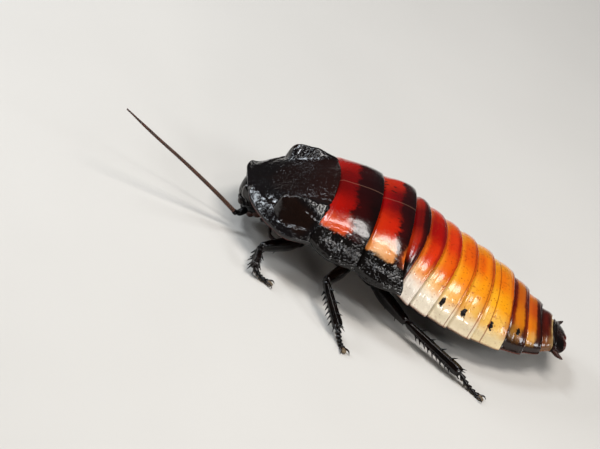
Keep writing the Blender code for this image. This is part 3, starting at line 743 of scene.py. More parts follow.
@dataclass
class Bench:
    """Where pieces are made, in millimetres from the front of the shield, and handed to the frame."""

    shift: Array = field(default_factory=lambda: np.zeros(3))

    def find_shift(self) -> None:
        """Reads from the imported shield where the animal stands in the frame."""
        low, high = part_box("pronotum")
        self.shift = np.array([low.x / MM, (low.y + high.y) / 2 / MM, 0.0])

    def sheet(self, name: str, columns: int, rows: int, shape: Shape, floor: float | None = None) -> Piece:
        """Adds a grid, carries its points to their places and merges the edges that meet.

        Args:
            name: The piece's name.
            columns: How many faces it has across or round.
            rows: How many it has along.
            shape: Gives the places and the map marks of grid places from 0 to 1.
            floor: The lowest height a point may have.

        Returns:
            The closed piece.
        """
        bpy.ops.object.select_all(action="DESELECT")
        bpy.ops.mesh.primitive_grid_add(x_subdivisions=columns, y_subdivisions=rows, size=1.0)
        piece = bpy.context.object
        piece.name = piece.data.name = name
        mesh = piece.data
        flat = np.empty(len(mesh.vertices) * 3)
        mesh.vertices.foreach_get("co", flat)
        grid = flat.reshape(-1, 3) + 0.5
        points, marks = shape(grid[:, 0], grid[:, 1])
        if floor is not None:
            points[:, 2] = np.maximum(points[:, 2], floor)
        mesh.vertices.foreach_set("co", ((points + self.shift) * MM).ravel())
        corners = np.empty(len(mesh.loops), np.int32)
        mesh.loops.foreach_get("vertex_index", corners)
        mesh.uv_layers[0].data.foreach_set("uv", marks[corners].ravel())
        bpy.ops.object.mode_set(mode="EDIT")
        bpy.ops.mesh.select_all(action="SELECT")
        bpy.ops.mesh.remove_doubles(threshold=MERGE)
        bpy.ops.mesh.normals_make_consistent(inside=False)
        bpy.ops.object.mode_set(mode="OBJECT")
        bpy.ops.object.shade_smooth()
        return piece

    def join(self, main: Piece, others: list[Piece]) -> Piece:
        """Joins pieces into main.

        Args:
            main: The piece that stays.
            others: The pieces that it takes in.

        Returns:
            The joined piece.
        """
        bpy.ops.object.select_all(action="DESELECT")
        for piece in (*others, main):
            piece.select_set(True)
        bpy.context.view_layer.objects.active = main
        bpy.ops.object.join()
        return main

    def keep(self, piece: Piece, finish: Horn | Shell | Facets, slot: Slot, *nodes: str) -> None:
        """Dresses a piece and hands it to the frame.

        Args:
            piece: The finished shape.
            finish: Its finish.
            slot: The record's slot for it. Not used.
            nodes: The solids that it stands for.
        """
        piece.data.materials.clear()
        piece.data.materials.append(dressed(finish))
        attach(piece, "root")
        if nodes:
            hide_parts(*nodes)
        LOG.info("%s: %d faces", piece.name, len(piece.data.polygons))

    def make(
        self,
        name: str,
        grid: tuple[int, int],
        shape: Shape,
        finish: Horn | Shell | Facets,
        slot: Slot,
        *nodes: str,
        floor: float | None = None,
    ) -> None:
        """Makes, dresses and hands over a piece of one sheet, its grid given as columns and rows."""
        self.keep(self.sheet(name, *grid, shape, floor), finish, slot, *nodes)


# Shapes that the pieces share.


def round_plate(u: Array) -> tuple[Array, Array]:
    """Walks round a plate: over its upper face from left to right, then back under it.

    Args:
        u: Places round the plate from 0 to 1.

    Returns:
        The share from the left edge at -1 to the right edge at 1, and 1 on the upper face or -1 under it.
    """
    over = u <= TOP_SHARE
    share = np.where(over, u / TOP_SHARE * 2 - 1, 1 - (u - TOP_SHARE) / (1 - TOP_SHARE) * 2)
    return share, np.where(over, 1.0, -1.0)


def eased(v: Array) -> Array:
    """Rows from 0 to 1, closer together at both ends."""
    return (1 - np.cos(np.pi * v)) / 2


def orb(frame: Matrix, centre: Triple, half: Triple, relief: Callable[[Array], Array] | None = None) -> Shape:
    """The shape of a closed egg.

    Args:
        frame: What carries it.
        centre: Its middle in the frame.
        half: Its half sizes.
        relief: Gives how far each of its places stands out, in millimetres.

    Returns:
        The shape.
    """

    def shape(u: Array, v: Array) -> tuple[Array, Array]:
        """Places and marks of the egg.

        Args:
            u: Places round it, from 0 to 1.
            v: Places along it, from 0 to 1.

        Returns:
            Places and marks.
        """
        reach, turn = np.sin(np.pi * v), 2 * np.pi * u
        out = stack(reach * np.cos(turn), reach * np.sin(turn), -np.cos(np.pi * v))
        points = np.array(centre) + out * np.array(half)
        if relief:
            points = points + out * relief(points)[:, None]
        return carry(frame, points), np.stack([u, v], axis=1)

    return shape


def limb_frame(start: Triple, end: Triple) -> Matrix:
    """A frame at start with X towards end and Z as near to upright as it can be.

    Args:
        start: Where the limb starts.
        end: Where it ends.

    Returns:
        The frame.
    """
    ahead = (Vector(end) - Vector(start)).normalized()
    side = Vector((0, 0, 1)).cross(ahead).normalized()
    turn = Matrix((ahead, side, ahead.cross(side))).transposed().to_4x4()
    return Matrix.Translation(Vector(start)) @ turn


def rod(
    start: Triple,
    end: Triple,
    profile: Profile,
    half: tuple[float, float],
    power: float = 2.0,
    blunt: float = 8.0,
    relief: Callable[[Array, Array, Array], Array] | None = None,
) -> Shape:
    """The shape of a tapered limb.

    Args:
        start: Where it starts.
        end: Where it ends.
        profile: Its size by share of its length.
        half: Its half width and half depth where its size is 1.
        power: 2 for an oval section, more for a squarer one.
        blunt: How square its ends are.
        relief: Gives what to add to its radius from share, turn and place.

    Returns:
        The shape.
    """
    frame = limb_frame(start, end)
    length = (Vector(end) - Vector(start)).length
    wide, deep = ([(place, size * most) for place, size in profile] for most in half)

    def shape(u: Array, v: Array) -> tuple[Array, Array]:
        """Places and marks of the limb.

        Args:
            u: Places round it, from 0 to 1.
            v: Places along it, from 0 to 1.

        Returns:
            Places and marks.
        """
        share, turn = eased(v), 2 * np.pi * u
        close = bow(2 * share - 1, blunt)
        c, s = np.cos(turn), np.sin(turn)
        c, s = np.sign(c) * np.abs(c) ** (2 / power), np.sign(s) * np.abs(s) ** (2 / power)
        y, z = spline(wide, share) * c, spline(deep, share) * s
        points = stack(length * share, y * close, z * close)
        if relief:
            more = relief(share, turn, points) * close
            points += stack(np.zeros_like(u), more * np.cos(turn), more * np.sin(turn))
        return carry(frame, points), np.stack([u, share], axis=1)

    return shape


def curve(points: Iterable[Triple], count: int) -> Array:
    """Even places on a smooth curve.

    Args:
        points: What it passes through.
        count: How many steps it is cut into.

    Returns:
        count + 1 places.
    """
    line = np.array(list(points), float)
    knots = np.arange(len(line))
    at = np.linspace(0, len(line) - 1, count * 4 + 1)
    fine = np.stack([spline(zip(knots, line[:, k]), at) for k in range(3)], axis=1)
    run = np.concatenate([[0], np.cumsum(np.linalg.norm(np.diff(fine, axis=0), axis=1))])
    even = np.linspace(0, run[-1], count + 1)
    return np.stack([np.interp(even, run, fine[:, k]) for k in range(3)], axis=1)


def hose(places: Array, radius: Callable[[Array], Array]) -> Shape:
    """The shape of a tube along a curve.

    Args:
        places: The curve's places, one for each row.
        radius: Gives the radius at a share of the length.

    Returns:
        The shape.
    """
    ahead = np.gradient(places, axis=0)
    ahead /= np.linalg.norm(ahead, axis=1)[:, None]
    side = np.cross([0.0, 0.0, 1.0], ahead)
    side /= np.linalg.norm(side, axis=1)[:, None]
    up = np.cross(ahead, side)

    def shape(u: Array, v: Array) -> tuple[Array, Array]:
        """Places and marks of the tube.

        Args:
            u: Places round it, from 0 to 1.
            v: Places along it, from 0 to 1.

        Returns:
            Places and marks.
        """
        row = np.rint(v * (len(places) - 1)).astype(int)
        turn = (2 * np.pi * u)[:, None]
        size = (radius(v) * bow(2 * v - 1, 30))[:, None]
        points = places[row] + size * (side[row] * np.cos(turn) + up[row] * np.sin(turn))
        return points, np.stack([u, v], axis=1)

    return shape


# The shield.


@dataclass
class Shield:
    """The pronotum: a domed, pitted shield with a rim and two blunt horns."""

    length: float = REAR_OF_SHIELD
    half_width: float = 13.0
    front_depth: float = 11.0
    plan_power: float = 1.58
    thickness: float = 1.1
    rim_height: float = 8.3
    rim_front: float = 1.5
    rim_rear: float = 1.1
    crest: tuple[float, float] = (10.5, 15.6)
    horn_x: float = 8.6
    horn_top: float = 13.35
    horn_rise: float = 0.85
    horn_front: float = 2.2
    horn_inner: float = 2.9
    middle_hollow: float = 1.2
    flank_hollow: float = 0.95
    columns: int = 300
    rows: int = 150

    def share(self, x: Array, y: Array) -> Array:
        """1 on the rim of the shield, less inside it.

        Args:
            x: Places along the body.
            y: Places across it.

        Returns:
            The shares.
        """
        ahead = np.maximum(0.0, (self.front_depth - x) / self.front_depth)
        power = self.plan_power
        return np.minimum(1.0, (np.abs(y / self.half_width) ** power + ahead**power) ** (1 / power))

    def rim(self, x: Array) -> Array:
        """Height of the rim, raised in front and at the rear corners."""
        rear = smooth(9.0, self.length, x)
        return self.rim_height + self.rim_front * hump(x, 0.0, 1.9) + self.rim_rear * rear

    def dome(self, x: Array, y: Array) -> Array:
        """Height of the plain dome.

        Args:
            x: Places along the body.
            y: Places across it.

        Returns:
            Heights.
        """
        share = self.share(x, y)
        rim = self.rim(x)
        crest = lerp(*self.crest, x / self.length)
        sink = 0.5 * (1 - smooth(9.0, self.length, x)) * smooth(1.0, 0.8, share)
        arch = lerp(bow(share, 1.68), bow(share, 1.8), smooth(4.0, 8.0, x))
        return rim + (crest - rim) * arch - sink

    def relief(self, x: Array, y: Array) -> Array:
        """Horns, hollows, rim and wrinkles on the dome.

        Args:
            x: Places along the body.
            y: Places across it.

        Returns:
            What they add to its height.
        """
        side = np.abs(y)
        ahead = np.maximum(0.0, self.horn_x - x) / self.horn_front
        crest = spline(((0.0, 8.9), (10.0, 8.9), (13.0, 8.6), (15.4, 7.9)), x)
        foot = spline(((5.0, 9.3), (6.0, 9.9), (6.9, 10.6), (9.3, 11.5), (11.7, 12.1), (15.4, 12.5)), x)
        ledge = spline(((5.0, 0.0), (7.0, 0.1), (8.5, 0.35), (10.5, 0.85), (13.0, 2.2), (15.4, 3.0)), x)
        outer = np.maximum(0.0, side - crest - ledge) / (0.87 * (foot - crest) - ledge)
        outward = np.where(side > crest, outer, (crest - side) / self.horn_inner)
        away = np.hypot(ahead, outward)
        knob = lerp(1 - smooth(0.0, 1.0, away), bow(away, 2.8), ahead**2 / np.maximum(away, 1e-6) ** 2)
        top = self.horn_top + self.horn_rise * smooth(7.2, 11.5, x) - 0.2 * smooth(12.0, 15.0, x)
        top -= 0.6 * np.clip(side - crest, 0.0, ledge)
        horn = knob * np.maximum(0.0, top - self.dome(x, y))
        hollow = self.middle_hollow * hump(x, 6.0, 4.0) * hump(y, 0.0, 4.2)
        well = np.hypot((x - 10.4) / 3.9, (side - 10.6 - 0.16 * (x - 10.4)) / 1.45)
        flank = self.flank_hollow * smooth(1.1, 0.3, well)
        behind = 0.35 * hump(x, 14.4, 0.9) * hump(side, 9.0, 2.4)
        share = self.share(x, y)
        rim = 0.16 * hump(share, 0.996, 0.006)
        seam = -0.12 * hump(x, 14.3, 0.25) * smooth(7.0, 5.0, side)
        flat = stack(x, y, np.zeros_like(x))
        rugged = 0.09 * grain(flat, 1.3) + 0.08 * grain(flat, 0.62, 7.0) + 0.045 * grain(flat, 0.34, 3.0)
        coarse = 0.6 + 0.6 * knob + 0.8 * hump(share, 0.92, 0.1)
        face = smooth(0.0, 0.25, outward) * smooth(1.3, 1.1, outward)
        face = face * smooth(5.6, 6.4, x) * smooth(13.8, 12.8, x)
        rugged *= smooth(1.0, 0.99, share) * (1 - 0.95 * face * (side > crest)) * coarse
        return horn - hollow - flank + behind + rim + seam + rugged

    def shape(self, u: Array, v: Array) -> tuple[Array, Array]:
        """Places and marks of the shield.

        Args:
            u: Places round it.
            v: Places along it.

        Returns:
            Places and marks.
        """
        across, over = round_plate(u)
        share = eased(v)
        y = self.half_width * np.sin(across * np.pi / 2)
        front = self.front_depth * (1 - bow(y / self.half_width, self.plan_power))
        x = lerp(front, self.length + STATIONS[0].swept(y), share)
        full = bow(across, 6) * bow(2 * share - 1, 14)
        thick = lerp(0.2, self.thickness, smooth(1.0, 0.86, self.share(x, y)))
        collar = 0.95 * hump(x, 0.0, 1.3)
        middle = self.dome(x, y) - self.thickness + thick / 2 + (self.thickness - thick) * collar
        top = middle + thick / 2 * full + self.relief(x, y) * smooth(0.0, 0.5, full)
        under = middle - thick / 2 * full
        z = np.where(over > 0, top, np.minimum(under, middle))
        rise = z - self.rim(x) + self.thickness
        inside = 0.5 + 0.5 * np.sign(y) * (self.share(x, y) - 0.03 * smooth(0.1, 0.4, rise))
        return stack(x, y, z), np.stack([inside, share], axis=1)

    def build(self, bench: Bench) -> None:
        """Makes and dresses the shield."""
        bench.make("shield", (self.columns, self.rows), self.shape, SHIELD_HORN, Slot.DARK, "pronotum")


# The plates of the back.


@dataclass
class BackPlate:
    """One plate of the back, from under the edge of the plate before to its own rear lip."""

    front: Station
    rear: Station
    columns: int = 210
    rows: int = 56
    thickness: float = 0.38
    tuck: float = 0.16
    arch_power: float = 2.3
    sunk: float = 0.4
    shoulder: float = 0.42
    lip: float = 0.43
    tooth_step: float = 0.55

    def lift(self, share: Array) -> Array:
        """How far the plate stands over the body's plain line, by share of its length."""
        front = self.shoulder * smooth(-self.tuck, 0.06, share)
        return -self.sunk + front + self.lip * smooth(0.04, 0.96, share)

    def place(self, across: Array, share: Array) -> tuple[Array, Array, Array]:
        """The plain plate.

        Args:
            across: -1 at the left edge to 1 at the right.
            share: 0 at its front edge to 1 at its rear, less under the plate before.

        Returns:
            Places, the directions that face out of it, and how high up its side each lies.
        """
        t = np.sin(across * np.pi / 2)
        start = self.front.rear + GAP
        mid = lerp(start, self.rear.rear, share)
        lift = self.lift(share)
        tucked = np.clip(1 - share, 0, 1) ** 2
        half = body("half_width", mid) + lift - self.rear.inset * tucked
        margin = body("margin", mid) - self.rear.drop * tucked
        arch = body("arch", mid) + lift
        y = half * t
        begin = start + self.front.swept(y) + self.rear.inset * np.abs(y / self.front.half_width) ** 6 / 4
        x = lerp(begin, self.rear.rear + self.rear.swept(y), share)
        height = bow(t, self.arch_power)
        points = stack(x, y, margin + arch * height)
        out = stack(np.zeros_like(x), y / half**2, (arch * height + 1.0) / (arch + 1.0) ** 2)
        return points, out / np.linalg.norm(out, axis=1)[:, None], height

    def relief(self, across: Array, share: Array, height: Array, points: Array) -> Array:
        """Swelling, creases and wrinkles of the plate.

        Args:
            across: -1 at the left edge to 1 at the right. Not used.
            share: 0 at its front edge to 1 at its rear.
            height: 1 on the midline to 0 at the side edge.
            points: The plain places.

        Returns:
            How far each place stands out.
        """
        swell = 0.12 * np.sin(np.pi * np.clip(share, 0, 1)) * smooth(0.0, 0.3, height)
        crease = -0.045 * hump(share, 0.87, 0.03) - 0.03 * hump(share, 0.34, 0.04)
        teeth = 0.07 * np.sin(points[:, 0] * 2 * np.pi / self.tooth_step) * hump(height, 0.0, 0.05)
        bead = 0.14 * hump(height, 0.0, 0.08) - 0.12 * hump(height, 0.2, 0.1)
        sides = smooth(0.75, 0.35, height)
        uneven = 0.035 * grain(points, 2.4) + 0.05 * sides * grain(points, 1.3, 5.0)
        return swell + crease + teeth + bead + uneven

    def shape(self, u: Array, v: Array) -> tuple[Array, Array]:
        """Places and marks of the plate.

        Args:
            u: Places round it.
            v: Places along it.

        Returns:
            Places and marks.
        """
        across, over = round_plate(u)
        even = eased(v)
        share = lerp(-self.tuck, 1.0, even)
        points, out, height = self.place(across, share)
        full = bow(across, 10) * bow(2 * even - 1, 10)
        more = self.relief(across, share, height, points) * smooth(0.0, 0.6, full)
        depth = np.where(over > 0, self.thickness / 2 * (1 - full) - more, self.thickness / 2 * (1 + full))
        marks = np.stack([across / 2 + 0.5, np.clip(share, 0, 1)], axis=1)
        return points - out * depth[:, None], marks

    def build(self, bench: Bench) -> None:
        """Makes and dresses the plate.

        Args:
            bench: Where it is made.
        """
        name = self.rear.plate
        slot = Slot.RED if name in RED_PLATES else Slot.BROWN if name in BROWN_PLATES else Slot.AMBER
        bench.make("plate_" + name, (self.columns, self.rows), self.shape, PLATE_FINISHES[name], slot, name)


@dataclass
class ThoraxPlate(BackPlate):
    """A plate of the thorax, with a keel line and a turned-down side lobe."""

    rows: int = 130
    thickness: float = 0.42
    tuck: float = 0.08
    hang: float = 0.75
    flare: float = 1.1

    def place(self, across: Array, share: Array) -> tuple[Array, Array, Array]:
        """The plain plate, its side lobes hanging lowest near their front corners.

        Args:
            across: -1 at the left edge to 1 at the right.
            share: 0 at its front edge to 1 at its rear, less under the plate before.

        Returns:
            Places, the directions that face out of it, and how high up its side each lies.
        """
        points, out, height = super().place(across, share)
        hang = smooth(-0.15, 0.2, share) * smooth(1.05, 0.35, share)
        low = np.clip(1 - height / 0.62, 0.0, 1.0) ** 1.5
        points[:, 2] -= self.hang * hang * low
        wide = 0.3 + 0.7 * smooth(0.0, 0.4, share) - 0.3 * smooth(0.6, 1.0, share)
        points[:, 1] += np.sign(across) * wide * self.flare * low
        return points, out, height

    def relief(self, across: Array, share: Array, height: Array, points: Array) -> Array:
        """Swelling, keel, side groove and lobe of the plate.

        Args:
            across: -1 at the left edge to 1 at the right. Not used.
            share: 0 at its front edge to 1 at its rear.
            height: 1 on the midline to 0 at the side edge.
            points: The plain places.

        Returns:
            How far each place stands out.
        """
        middle = smooth(0.3, 0.7, height) + hump(height, 0.86, 0.08)
        swell = 0.2 * np.sin(np.pi * np.clip(share, 0, 1)) * middle
        keel = 0.05 * hump(points[:, 1], 0.0, 0.12)
        groove = -0.42 * hump(height, 0.42, 0.12) * smooth(0.02, 0.25, share)
        lobe = 0.16 * smooth(0.34, 0.08, height)
        ridge = 0.1 * hump(height, 0.13, 0.03) + 0.1 * hump(height, 0.0, 0.035)
        sides = smooth(0.72, 0.4, height)
        rugged = 0.07 * grain(points, 0.8, 3.0) + 0.05 * grain(points, 0.4, 9.0)
        uneven = 0.03 * grain(points, 1.8) + sides * rugged
        return swell + keel + groove + lobe + ridge + uneven


@dataclass
class BellyPlate:
    """One plate of the belly, its side edges tucked up inside the plates of the back."""

    front: Station
    rear: Station
    columns: int = 110
    rows: int = 26
    thickness: float = 0.4
    tuck: float = 0.12
    power: float = 2.2

    def shape(self, u: Array, v: Array) -> tuple[Array, Array]:
        """Places and marks of the plate.

        Args:
            u: Places round it.
            v: Places along it.

        Returns:
            Places and marks.
        """
        across, over = round_plate(u)
        even = eased(v)
        share = lerp(-self.tuck, 1.0, even)
        t = np.sin(across * np.pi / 2)
        mid = lerp(self.front.rear + GAP, self.rear.rear, share)
        lift = 0.3 * smooth(-self.tuck, 1.0, share) - 0.25
        half = body("half_width", mid) - 0.9
        y = half * t
        x = lerp(self.front.rear + GAP + self.front.swept(y), self.rear.rear + self.rear.swept(y), share)
        depth = (body("belly", mid) + lift) * bow(t, self.power) - 0.35
        points = stack(x, y, body("margin", mid) - depth)
        full = bow(across, 10) * bow(2 * even - 1, 10)
        more = 0.04 * grain(points, 2.0) * full
        inward = np.where(over > 0, self.thickness / 2 * (1 - full) - more, self.thickness / 2 * (1 + full))
        points[:, 2] += inward
        return points, np.stack([across / 2 + 0.5, np.clip(share, 0, 1)], axis=1)

    def build(self, bench: Bench) -> None:
        """Makes and dresses the plate."""
        name = self.rear.plate.replace("tergum", "sternum")
        bench.make(name, (self.columns, self.rows), self.shape, BELLY_HORN, Slot.BROWN)


@dataclass
class Tail:
    """The end plate over the vent, with the pale skin that joins it."""

    end: float = 66.1
    skin_length: float = 1.3
    columns: int = 96
    rows: int = 60
    skin_rows: int = 24

    def ring(self, u: Array, x: Array, size: Array, slant: Array) -> Array:
        """Places round the end of the body.

        Args:
            u: Places round it.
            x: Places along it.
            size: The ring's size as a share of the last plate's.
            slant: How much of the last plate's sweep the ring has.

        Returns:
            Places.
        """
        last = STATIONS[-1]
        turn = 2 * np.pi * u
        t, up = np.cos(turn), np.sin(turn)
        y = last.half_width * np.sign(t) * np.abs(t) ** 0.85
        z = np.where(up > 0, last.arch * np.abs(up) ** 0.87, -last.belly * np.abs(up) ** 0.9)
        middle = last.margin + 0.2
        return stack(x + slant * last.swept(y), y * size, lerp(middle, last.margin + z, size))

    def plate(self, u: Array, v: Array) -> tuple[Array, Array]:
        """Places and marks of the end plate.

        Args:
            u: Places round it, from 0 to 1.
            v: Places along it, from 0 to 1.

        Returns:
            Places and marks.
        """
        start = STATIONS[-1].rear + 0.3
        outline = ((0, 0.55), (0.05, 0.93), (0.45, 0.92), (0.72, 0.78), (0.9, 0.52), (0.97, 0.3), (1, 0.0))
        size = spline(outline, v)
        size = size + 0.04 * hump(v, 0.1, 0.04) - 0.03 * hump(v, 0.2, 0.04)
        points = self.ring(u, lerp(start, self.end, v), size, 1 - v)
        over = smooth(0.0, 0.4, np.sin(2 * np.pi * u))
        points[:, 2] -= 0.9 * over * smooth(0.0, 0.9, v) * (1 - v) ** 0.3
        points[:, 0] -= 0.5 * hump(points[:, 1], 0.0, 0.5) * smooth(0.5, 1.0, v)
        return points, np.stack([u, v], axis=1)

    def skin(self, u: Array, v: Array) -> tuple[Array, Array]:
        """Places and marks of the skin between the last two plates.

        Args:
            u: Places round it, from 0 to 1.
            v: Places along it, from 0 to 1.

        Returns:
            Places and marks.
        """
        start = STATIONS[-1].rear - 0.7
        size = 0.95 - 0.04 * np.sin(v * 3 * np.pi) ** 2
        points = self.ring(u, start + v * self.skin_length, size * bow(2 * v - 1, 20), np.ones_like(v))
        return points, np.stack([u, v], axis=1)

    def build(self, bench: Bench) -> None:
        """Makes and dresses the plate and its skin."""
        bench.make("end_plate", (self.columns, self.rows), self.plate, TAIL_HORN, Slot.DARK, "tail_plate")
        bench.make("end_skin", (self.columns, self.skin_rows), self.skin, SKIN, Slot.BROWN)


@dataclass
class ThoraxFloor:
    """The underside of the thorax: three soft blocks that carry the legs."""

    blocks: tuple[tuple[str, float, float, float], ...] = (
        ("prothorax", 8.6, 15.0, 6.4),
        ("mesothorax", 15.4, 22.8, 7.6),
        ("metathorax", 23.2, 29.6, 7.8),
    )
    depth: float = 4.6
    overlap: float = 0.3

    def build(self, bench: Bench) -> None:
        """Makes and dresses the blocks.

        Args:
            bench: Where it is made.
        """
        for name, first, last, half in self.blocks:

            def shape(
                u: Array, v: Array, first: float = first, last: float = last, half: float = half
            ) -> tuple[Array, Array]:
                """Places and marks of one block.

                Args:
                    u: Places round it, from 0 to 1.
                    v: Places along it, from 0 to 1.
                    first: Where it starts.
                    last: Where it ends.
                    half: Its half width.

                Returns:
                    Places and marks.
                """
                share, turn = eased(v), 2 * np.pi * u
                size = bow(2 * share - 1, 5)
                x = lerp(first - self.overlap, last + self.overlap, share)
                bottom = body("margin", x) - self.depth
                y = half * np.cos(turn) * lerp(0.7, 1.0, size) * smooth(-0.001, 0.02, size)
                z = bottom + 2.2 + np.where(np.sin(turn) > 0, 3.4, 2.2) * np.sin(turn) * size
                points = stack(x, y, z)
                folds = 0.16 * grain(points, 1.2) - 0.3 * hump(y, 0.0, 0.5) * (np.sin(turn) < 0)
                points[:, 2] -= folds * size
                return points, np.stack([u, share], axis=1)

            bench.make("under_" + name, (96, 60), shape, THORAX_HORN, Slot.BROWN, name)


@dataclass
class Core:
    """The soft body inside the plates, seen only between them."""

    start: float = 14.8
    end: float = 61.6
    waist: float = 31.0
    waist_length: float = 1.7

    def shape(self, u: Array, v: Array) -> tuple[Array, Array]:
        """Places and marks of the body.

        Args:
            u: Places round it.
            v: Places along it.

        Returns:
            Places and marks.
        """
        x = lerp(self.start, self.end, v)
        size = bow(2 * v - 1, 24) * lerp(0.84, 1.0, smooth(self.start, 18.0, x))
        t, up = np.cos(2 * np.pi * u), np.sin(2 * np.pi * u)
        waist = hump(x, self.waist, self.waist_length)
        half = body("half_width", x) - 1.2 - 1.3 * waist
        height = np.where(up > 0, body("arch", x) - 0.95 - 0.5 * waist, body("belly", x) - 1.0)
        z = body("margin", x) + np.sign(up) * np.abs(up) ** 0.87 * height * size
        return stack(x, half * size * np.sign(t) * np.abs(t) ** 0.87, z), np.stack([u, v], axis=1)

    def build(self, bench: Bench) -> None:
        """Makes and dresses the body."""
        bench.make("body_core", (96, 120), self.shape, THORAX_HORN, Slot.BROWN)


# The head.


@dataclass
class Head:
    """The head, hung face down under the front of the shield, with its eyes and mouthparts."""

    centre: Triple = (3.8, 0.0, 5.4)
    half: Triple = (2.9, 4.1, 4.2)
    tilt: float = math.radians(24)
    eye_centre: Triple = (-1.0, 3.25, 1.7)
    eye_half: Triple = (1.15, 0.95, 1.9)
    frame: Matrix = field(init=False)

    def __post_init__(self) -> None:
        """Places the head's own frame: x through the face, y across, z from mouth to crown."""
        self.frame = Matrix.Translation(Vector(self.centre)) @ Matrix.Rotation(-self.tilt, 4, "Y")

    def relief(self, points: Array) -> Array:
        """Sockets, seams and brow of the capsule.

        Args:
            points: Places in the head's own frame.

        Returns:
            How far each place stands out.
        """
        x, y, z = points.T
        face = smooth(0.3, -1.2, x)
        side = np.abs(y)
        socket = np.hypot(side - 2.2, z + 0.3)
        ring = 0.22 * hump(socket, 1.0, 0.2) - 0.25 * hump(socket, 0.0, 0.7)
        seams = -0.09 * hump(z, -1.75, 0.12) * smooth(2.3, 2.0, side)
        seams -= 0.07 * hump(side, 2.35, 0.12) * smooth(-1.2, -1.6, z)
        seams -= 0.05 * hump(y, 0.0, 0.1) * smooth(1.4, 2.2, z)
        rim = np.hypot((side - 3.25) / 1.15, (z - 1.7) / 1.95)
        orbit = 0.14 * hump(rim, 1.1, 0.1) * smooth(0.8, -0.2, x)
        dips = -0.1 * hump(np.hypot(side - 1.35, z - 1.25), 0.0, 0.35)
        brow = 0.12 * hump(z, 0.6, 0.9) * hump(y, 0.0, 1.4)
        return face * (ring + seams + dips + brow) + orbit + 0.025 * grain(points, 0.9)

    def capsule(self, u: Array, v: Array) -> tuple[Array, Array]:
        """Places and marks of the capsule.

        Args:
            u: Places round it.
            v: Places from mouth to crown.

        Returns:
            Places and marks.
        """
        height = -np.cos(np.pi * v)
        reach = np.sqrt(np.maximum(0.0, 1 - np.abs(height) ** 2.2))
        jaw = 1 - 0.30 * smooth(0.1, -1.0, height)
        turn = 2 * np.pi * u
        out = stack(reach * np.cos(turn), reach * jaw * np.sin(turn), height)
        points = out * np.array(self.half) * np.where(out[:, 2:] > 0, (1, 1, 0.85), (1, 1, 0.92))
        points = points + out * self.relief(points)[:, None]
        return carry(self.frame, points), np.stack([u, v], axis=1)

    def build_capsule(self, bench: Bench) -> None:
        """Makes the capsule, its sockets and its mouthparts.

        Args:
            bench: Where it is made.
        """
        bench.make("head_capsule", (180, 120), self.capsule, HEAD_HORN, Slot.DARK, "head")
        face = orb(self.frame, (-1.75, 0.0, -2.3), (0.95, 1.75, 1.25))
        bench.make("face_plate", (60, 40), face, HEAD_HORN, Slot.DARK)

        def notch(points: Array) -> Array:
            """A dent in the middle of the lip's edge and a groove above it."""
            return -0.35 * hump(points[:, 1], 0.0, 0.35) * smooth(-3.5, -4.1, points[:, 2])

        lip = orb(self.frame, (-1.35, 0.0, -3.4), (0.55, 1.35, 0.8), notch)
        bench.make("upper_lip", (60, 40), lip, MOUTH_HORN, Slot.BROWN)

    def build_jaws(self, bench: Bench, side: Side) -> None:
        """Makes a jaw, a cheek, an antenna socket and an eye.

        Args:
            bench: Where they are made.
            side: Their side.
        """
        sign = side.value

        def bite(points: Array) -> Array:
            """Three blunt teeth on the jaw's inner edge."""
            inner = smooth(1.6, 0.6, points[:, 1] * sign)
            return 0.12 * np.sin(points[:, 2] * 9.0) * inner

        jaw = orb(self.frame, (-0.75, sign * 1.25, -3.0), (0.85, 0.95, 1.1), bite)
        bench.make("jaw_" + side.tag, (48, 40), jaw, JAW_HORN, Slot.BROWN)
        cheek = orb(self.frame, (0.55, sign * 1.5, -2.6), (1.1, 1.0, 1.35))
        bench.make("cheek_" + side.tag, (48, 40), cheek, MOUTH_HORN, Slot.BROWN)
        socket = orb(self.frame, (-2.15, sign * 2.2, -0.3), (0.75, 0.85, 0.85))
        bench.make("socket_" + side.tag, (48, 32), socket, SOCKET_HORN, Slot.BROWN)
        centre = (self.eye_centre[0], sign * self.eye_centre[1], self.eye_centre[2])

        def kidney(points: Array) -> Array:
            """The notch of the eye that goes round the antenna's socket."""
            return -0.35 * hump(points[:, 0], -1.9, 0.6) * hump(points[:, 2], 0.5, 0.6)

        eye = orb(self.frame, centre, self.eye_half, kidney)
        bench.make("eye_lens_" + side.tag, (96, 64), eye, Facets(), Slot.EYE, "eye_" + side.tag)

    def build_feelers(self, bench: Bench, side: Side) -> None:
        """Makes the long palp beside the mouth and the short one behind it.

        Args:
            bench: Where they are made.
            side: Their side.
        """
        sign = side.value
        rows = 120
        long = ((6.4, 2.6, 2.6), (7.7, 5.2, 3.9), (8.9, 6.3, 2.6), (10.9, 6.2, 2.3))
        short = ((6.6, 0.9, 2.2), (8.0, 1.7, 1.8), (9.4, 2.0, 1.7))
        for name, route, cuts, size in (
            ("palp", long, (0.0, 0.13, 0.36, 0.64, 0.8, 1.0), 0.36),
            ("lip_palp", short, (0.0, 0.3, 0.62, 1.0), 0.27),
        ):
            places = curve([(x, sign * y, z) for x, y, z in route], rows)

            def radius(v: Array, cuts: tuple[float, ...] = cuts, size: float = size) -> Array:
                """Joints that widen towards their ends.

                Args:
                    v: Places along it, from 0 to 1.
                    cuts: Where its joints meet.
                    size: Its full radius.

                Returns:
                    The radius at each place.
                """
                i = np.clip(np.searchsorted(cuts, v, side="right") - 1, 0, len(cuts) - 2)
                start, end = np.array(cuts)[i], np.array(cuts)[i + 1]
                within = (v - start) / (end - start)
                return size * (0.62 + 0.38 * smooth(0.0, 0.8, within)) * (0.55 + 0.45 * bow(2 * within - 1, 5))

            nodes = ["palp_" + side.tag] if name == "palp" else []
            palp = hose(places, radius)
            bench.make(f"{name}_joints_{side.tag}", (20, rows), palp, PALP_HORN, Slot.DARK, *nodes)

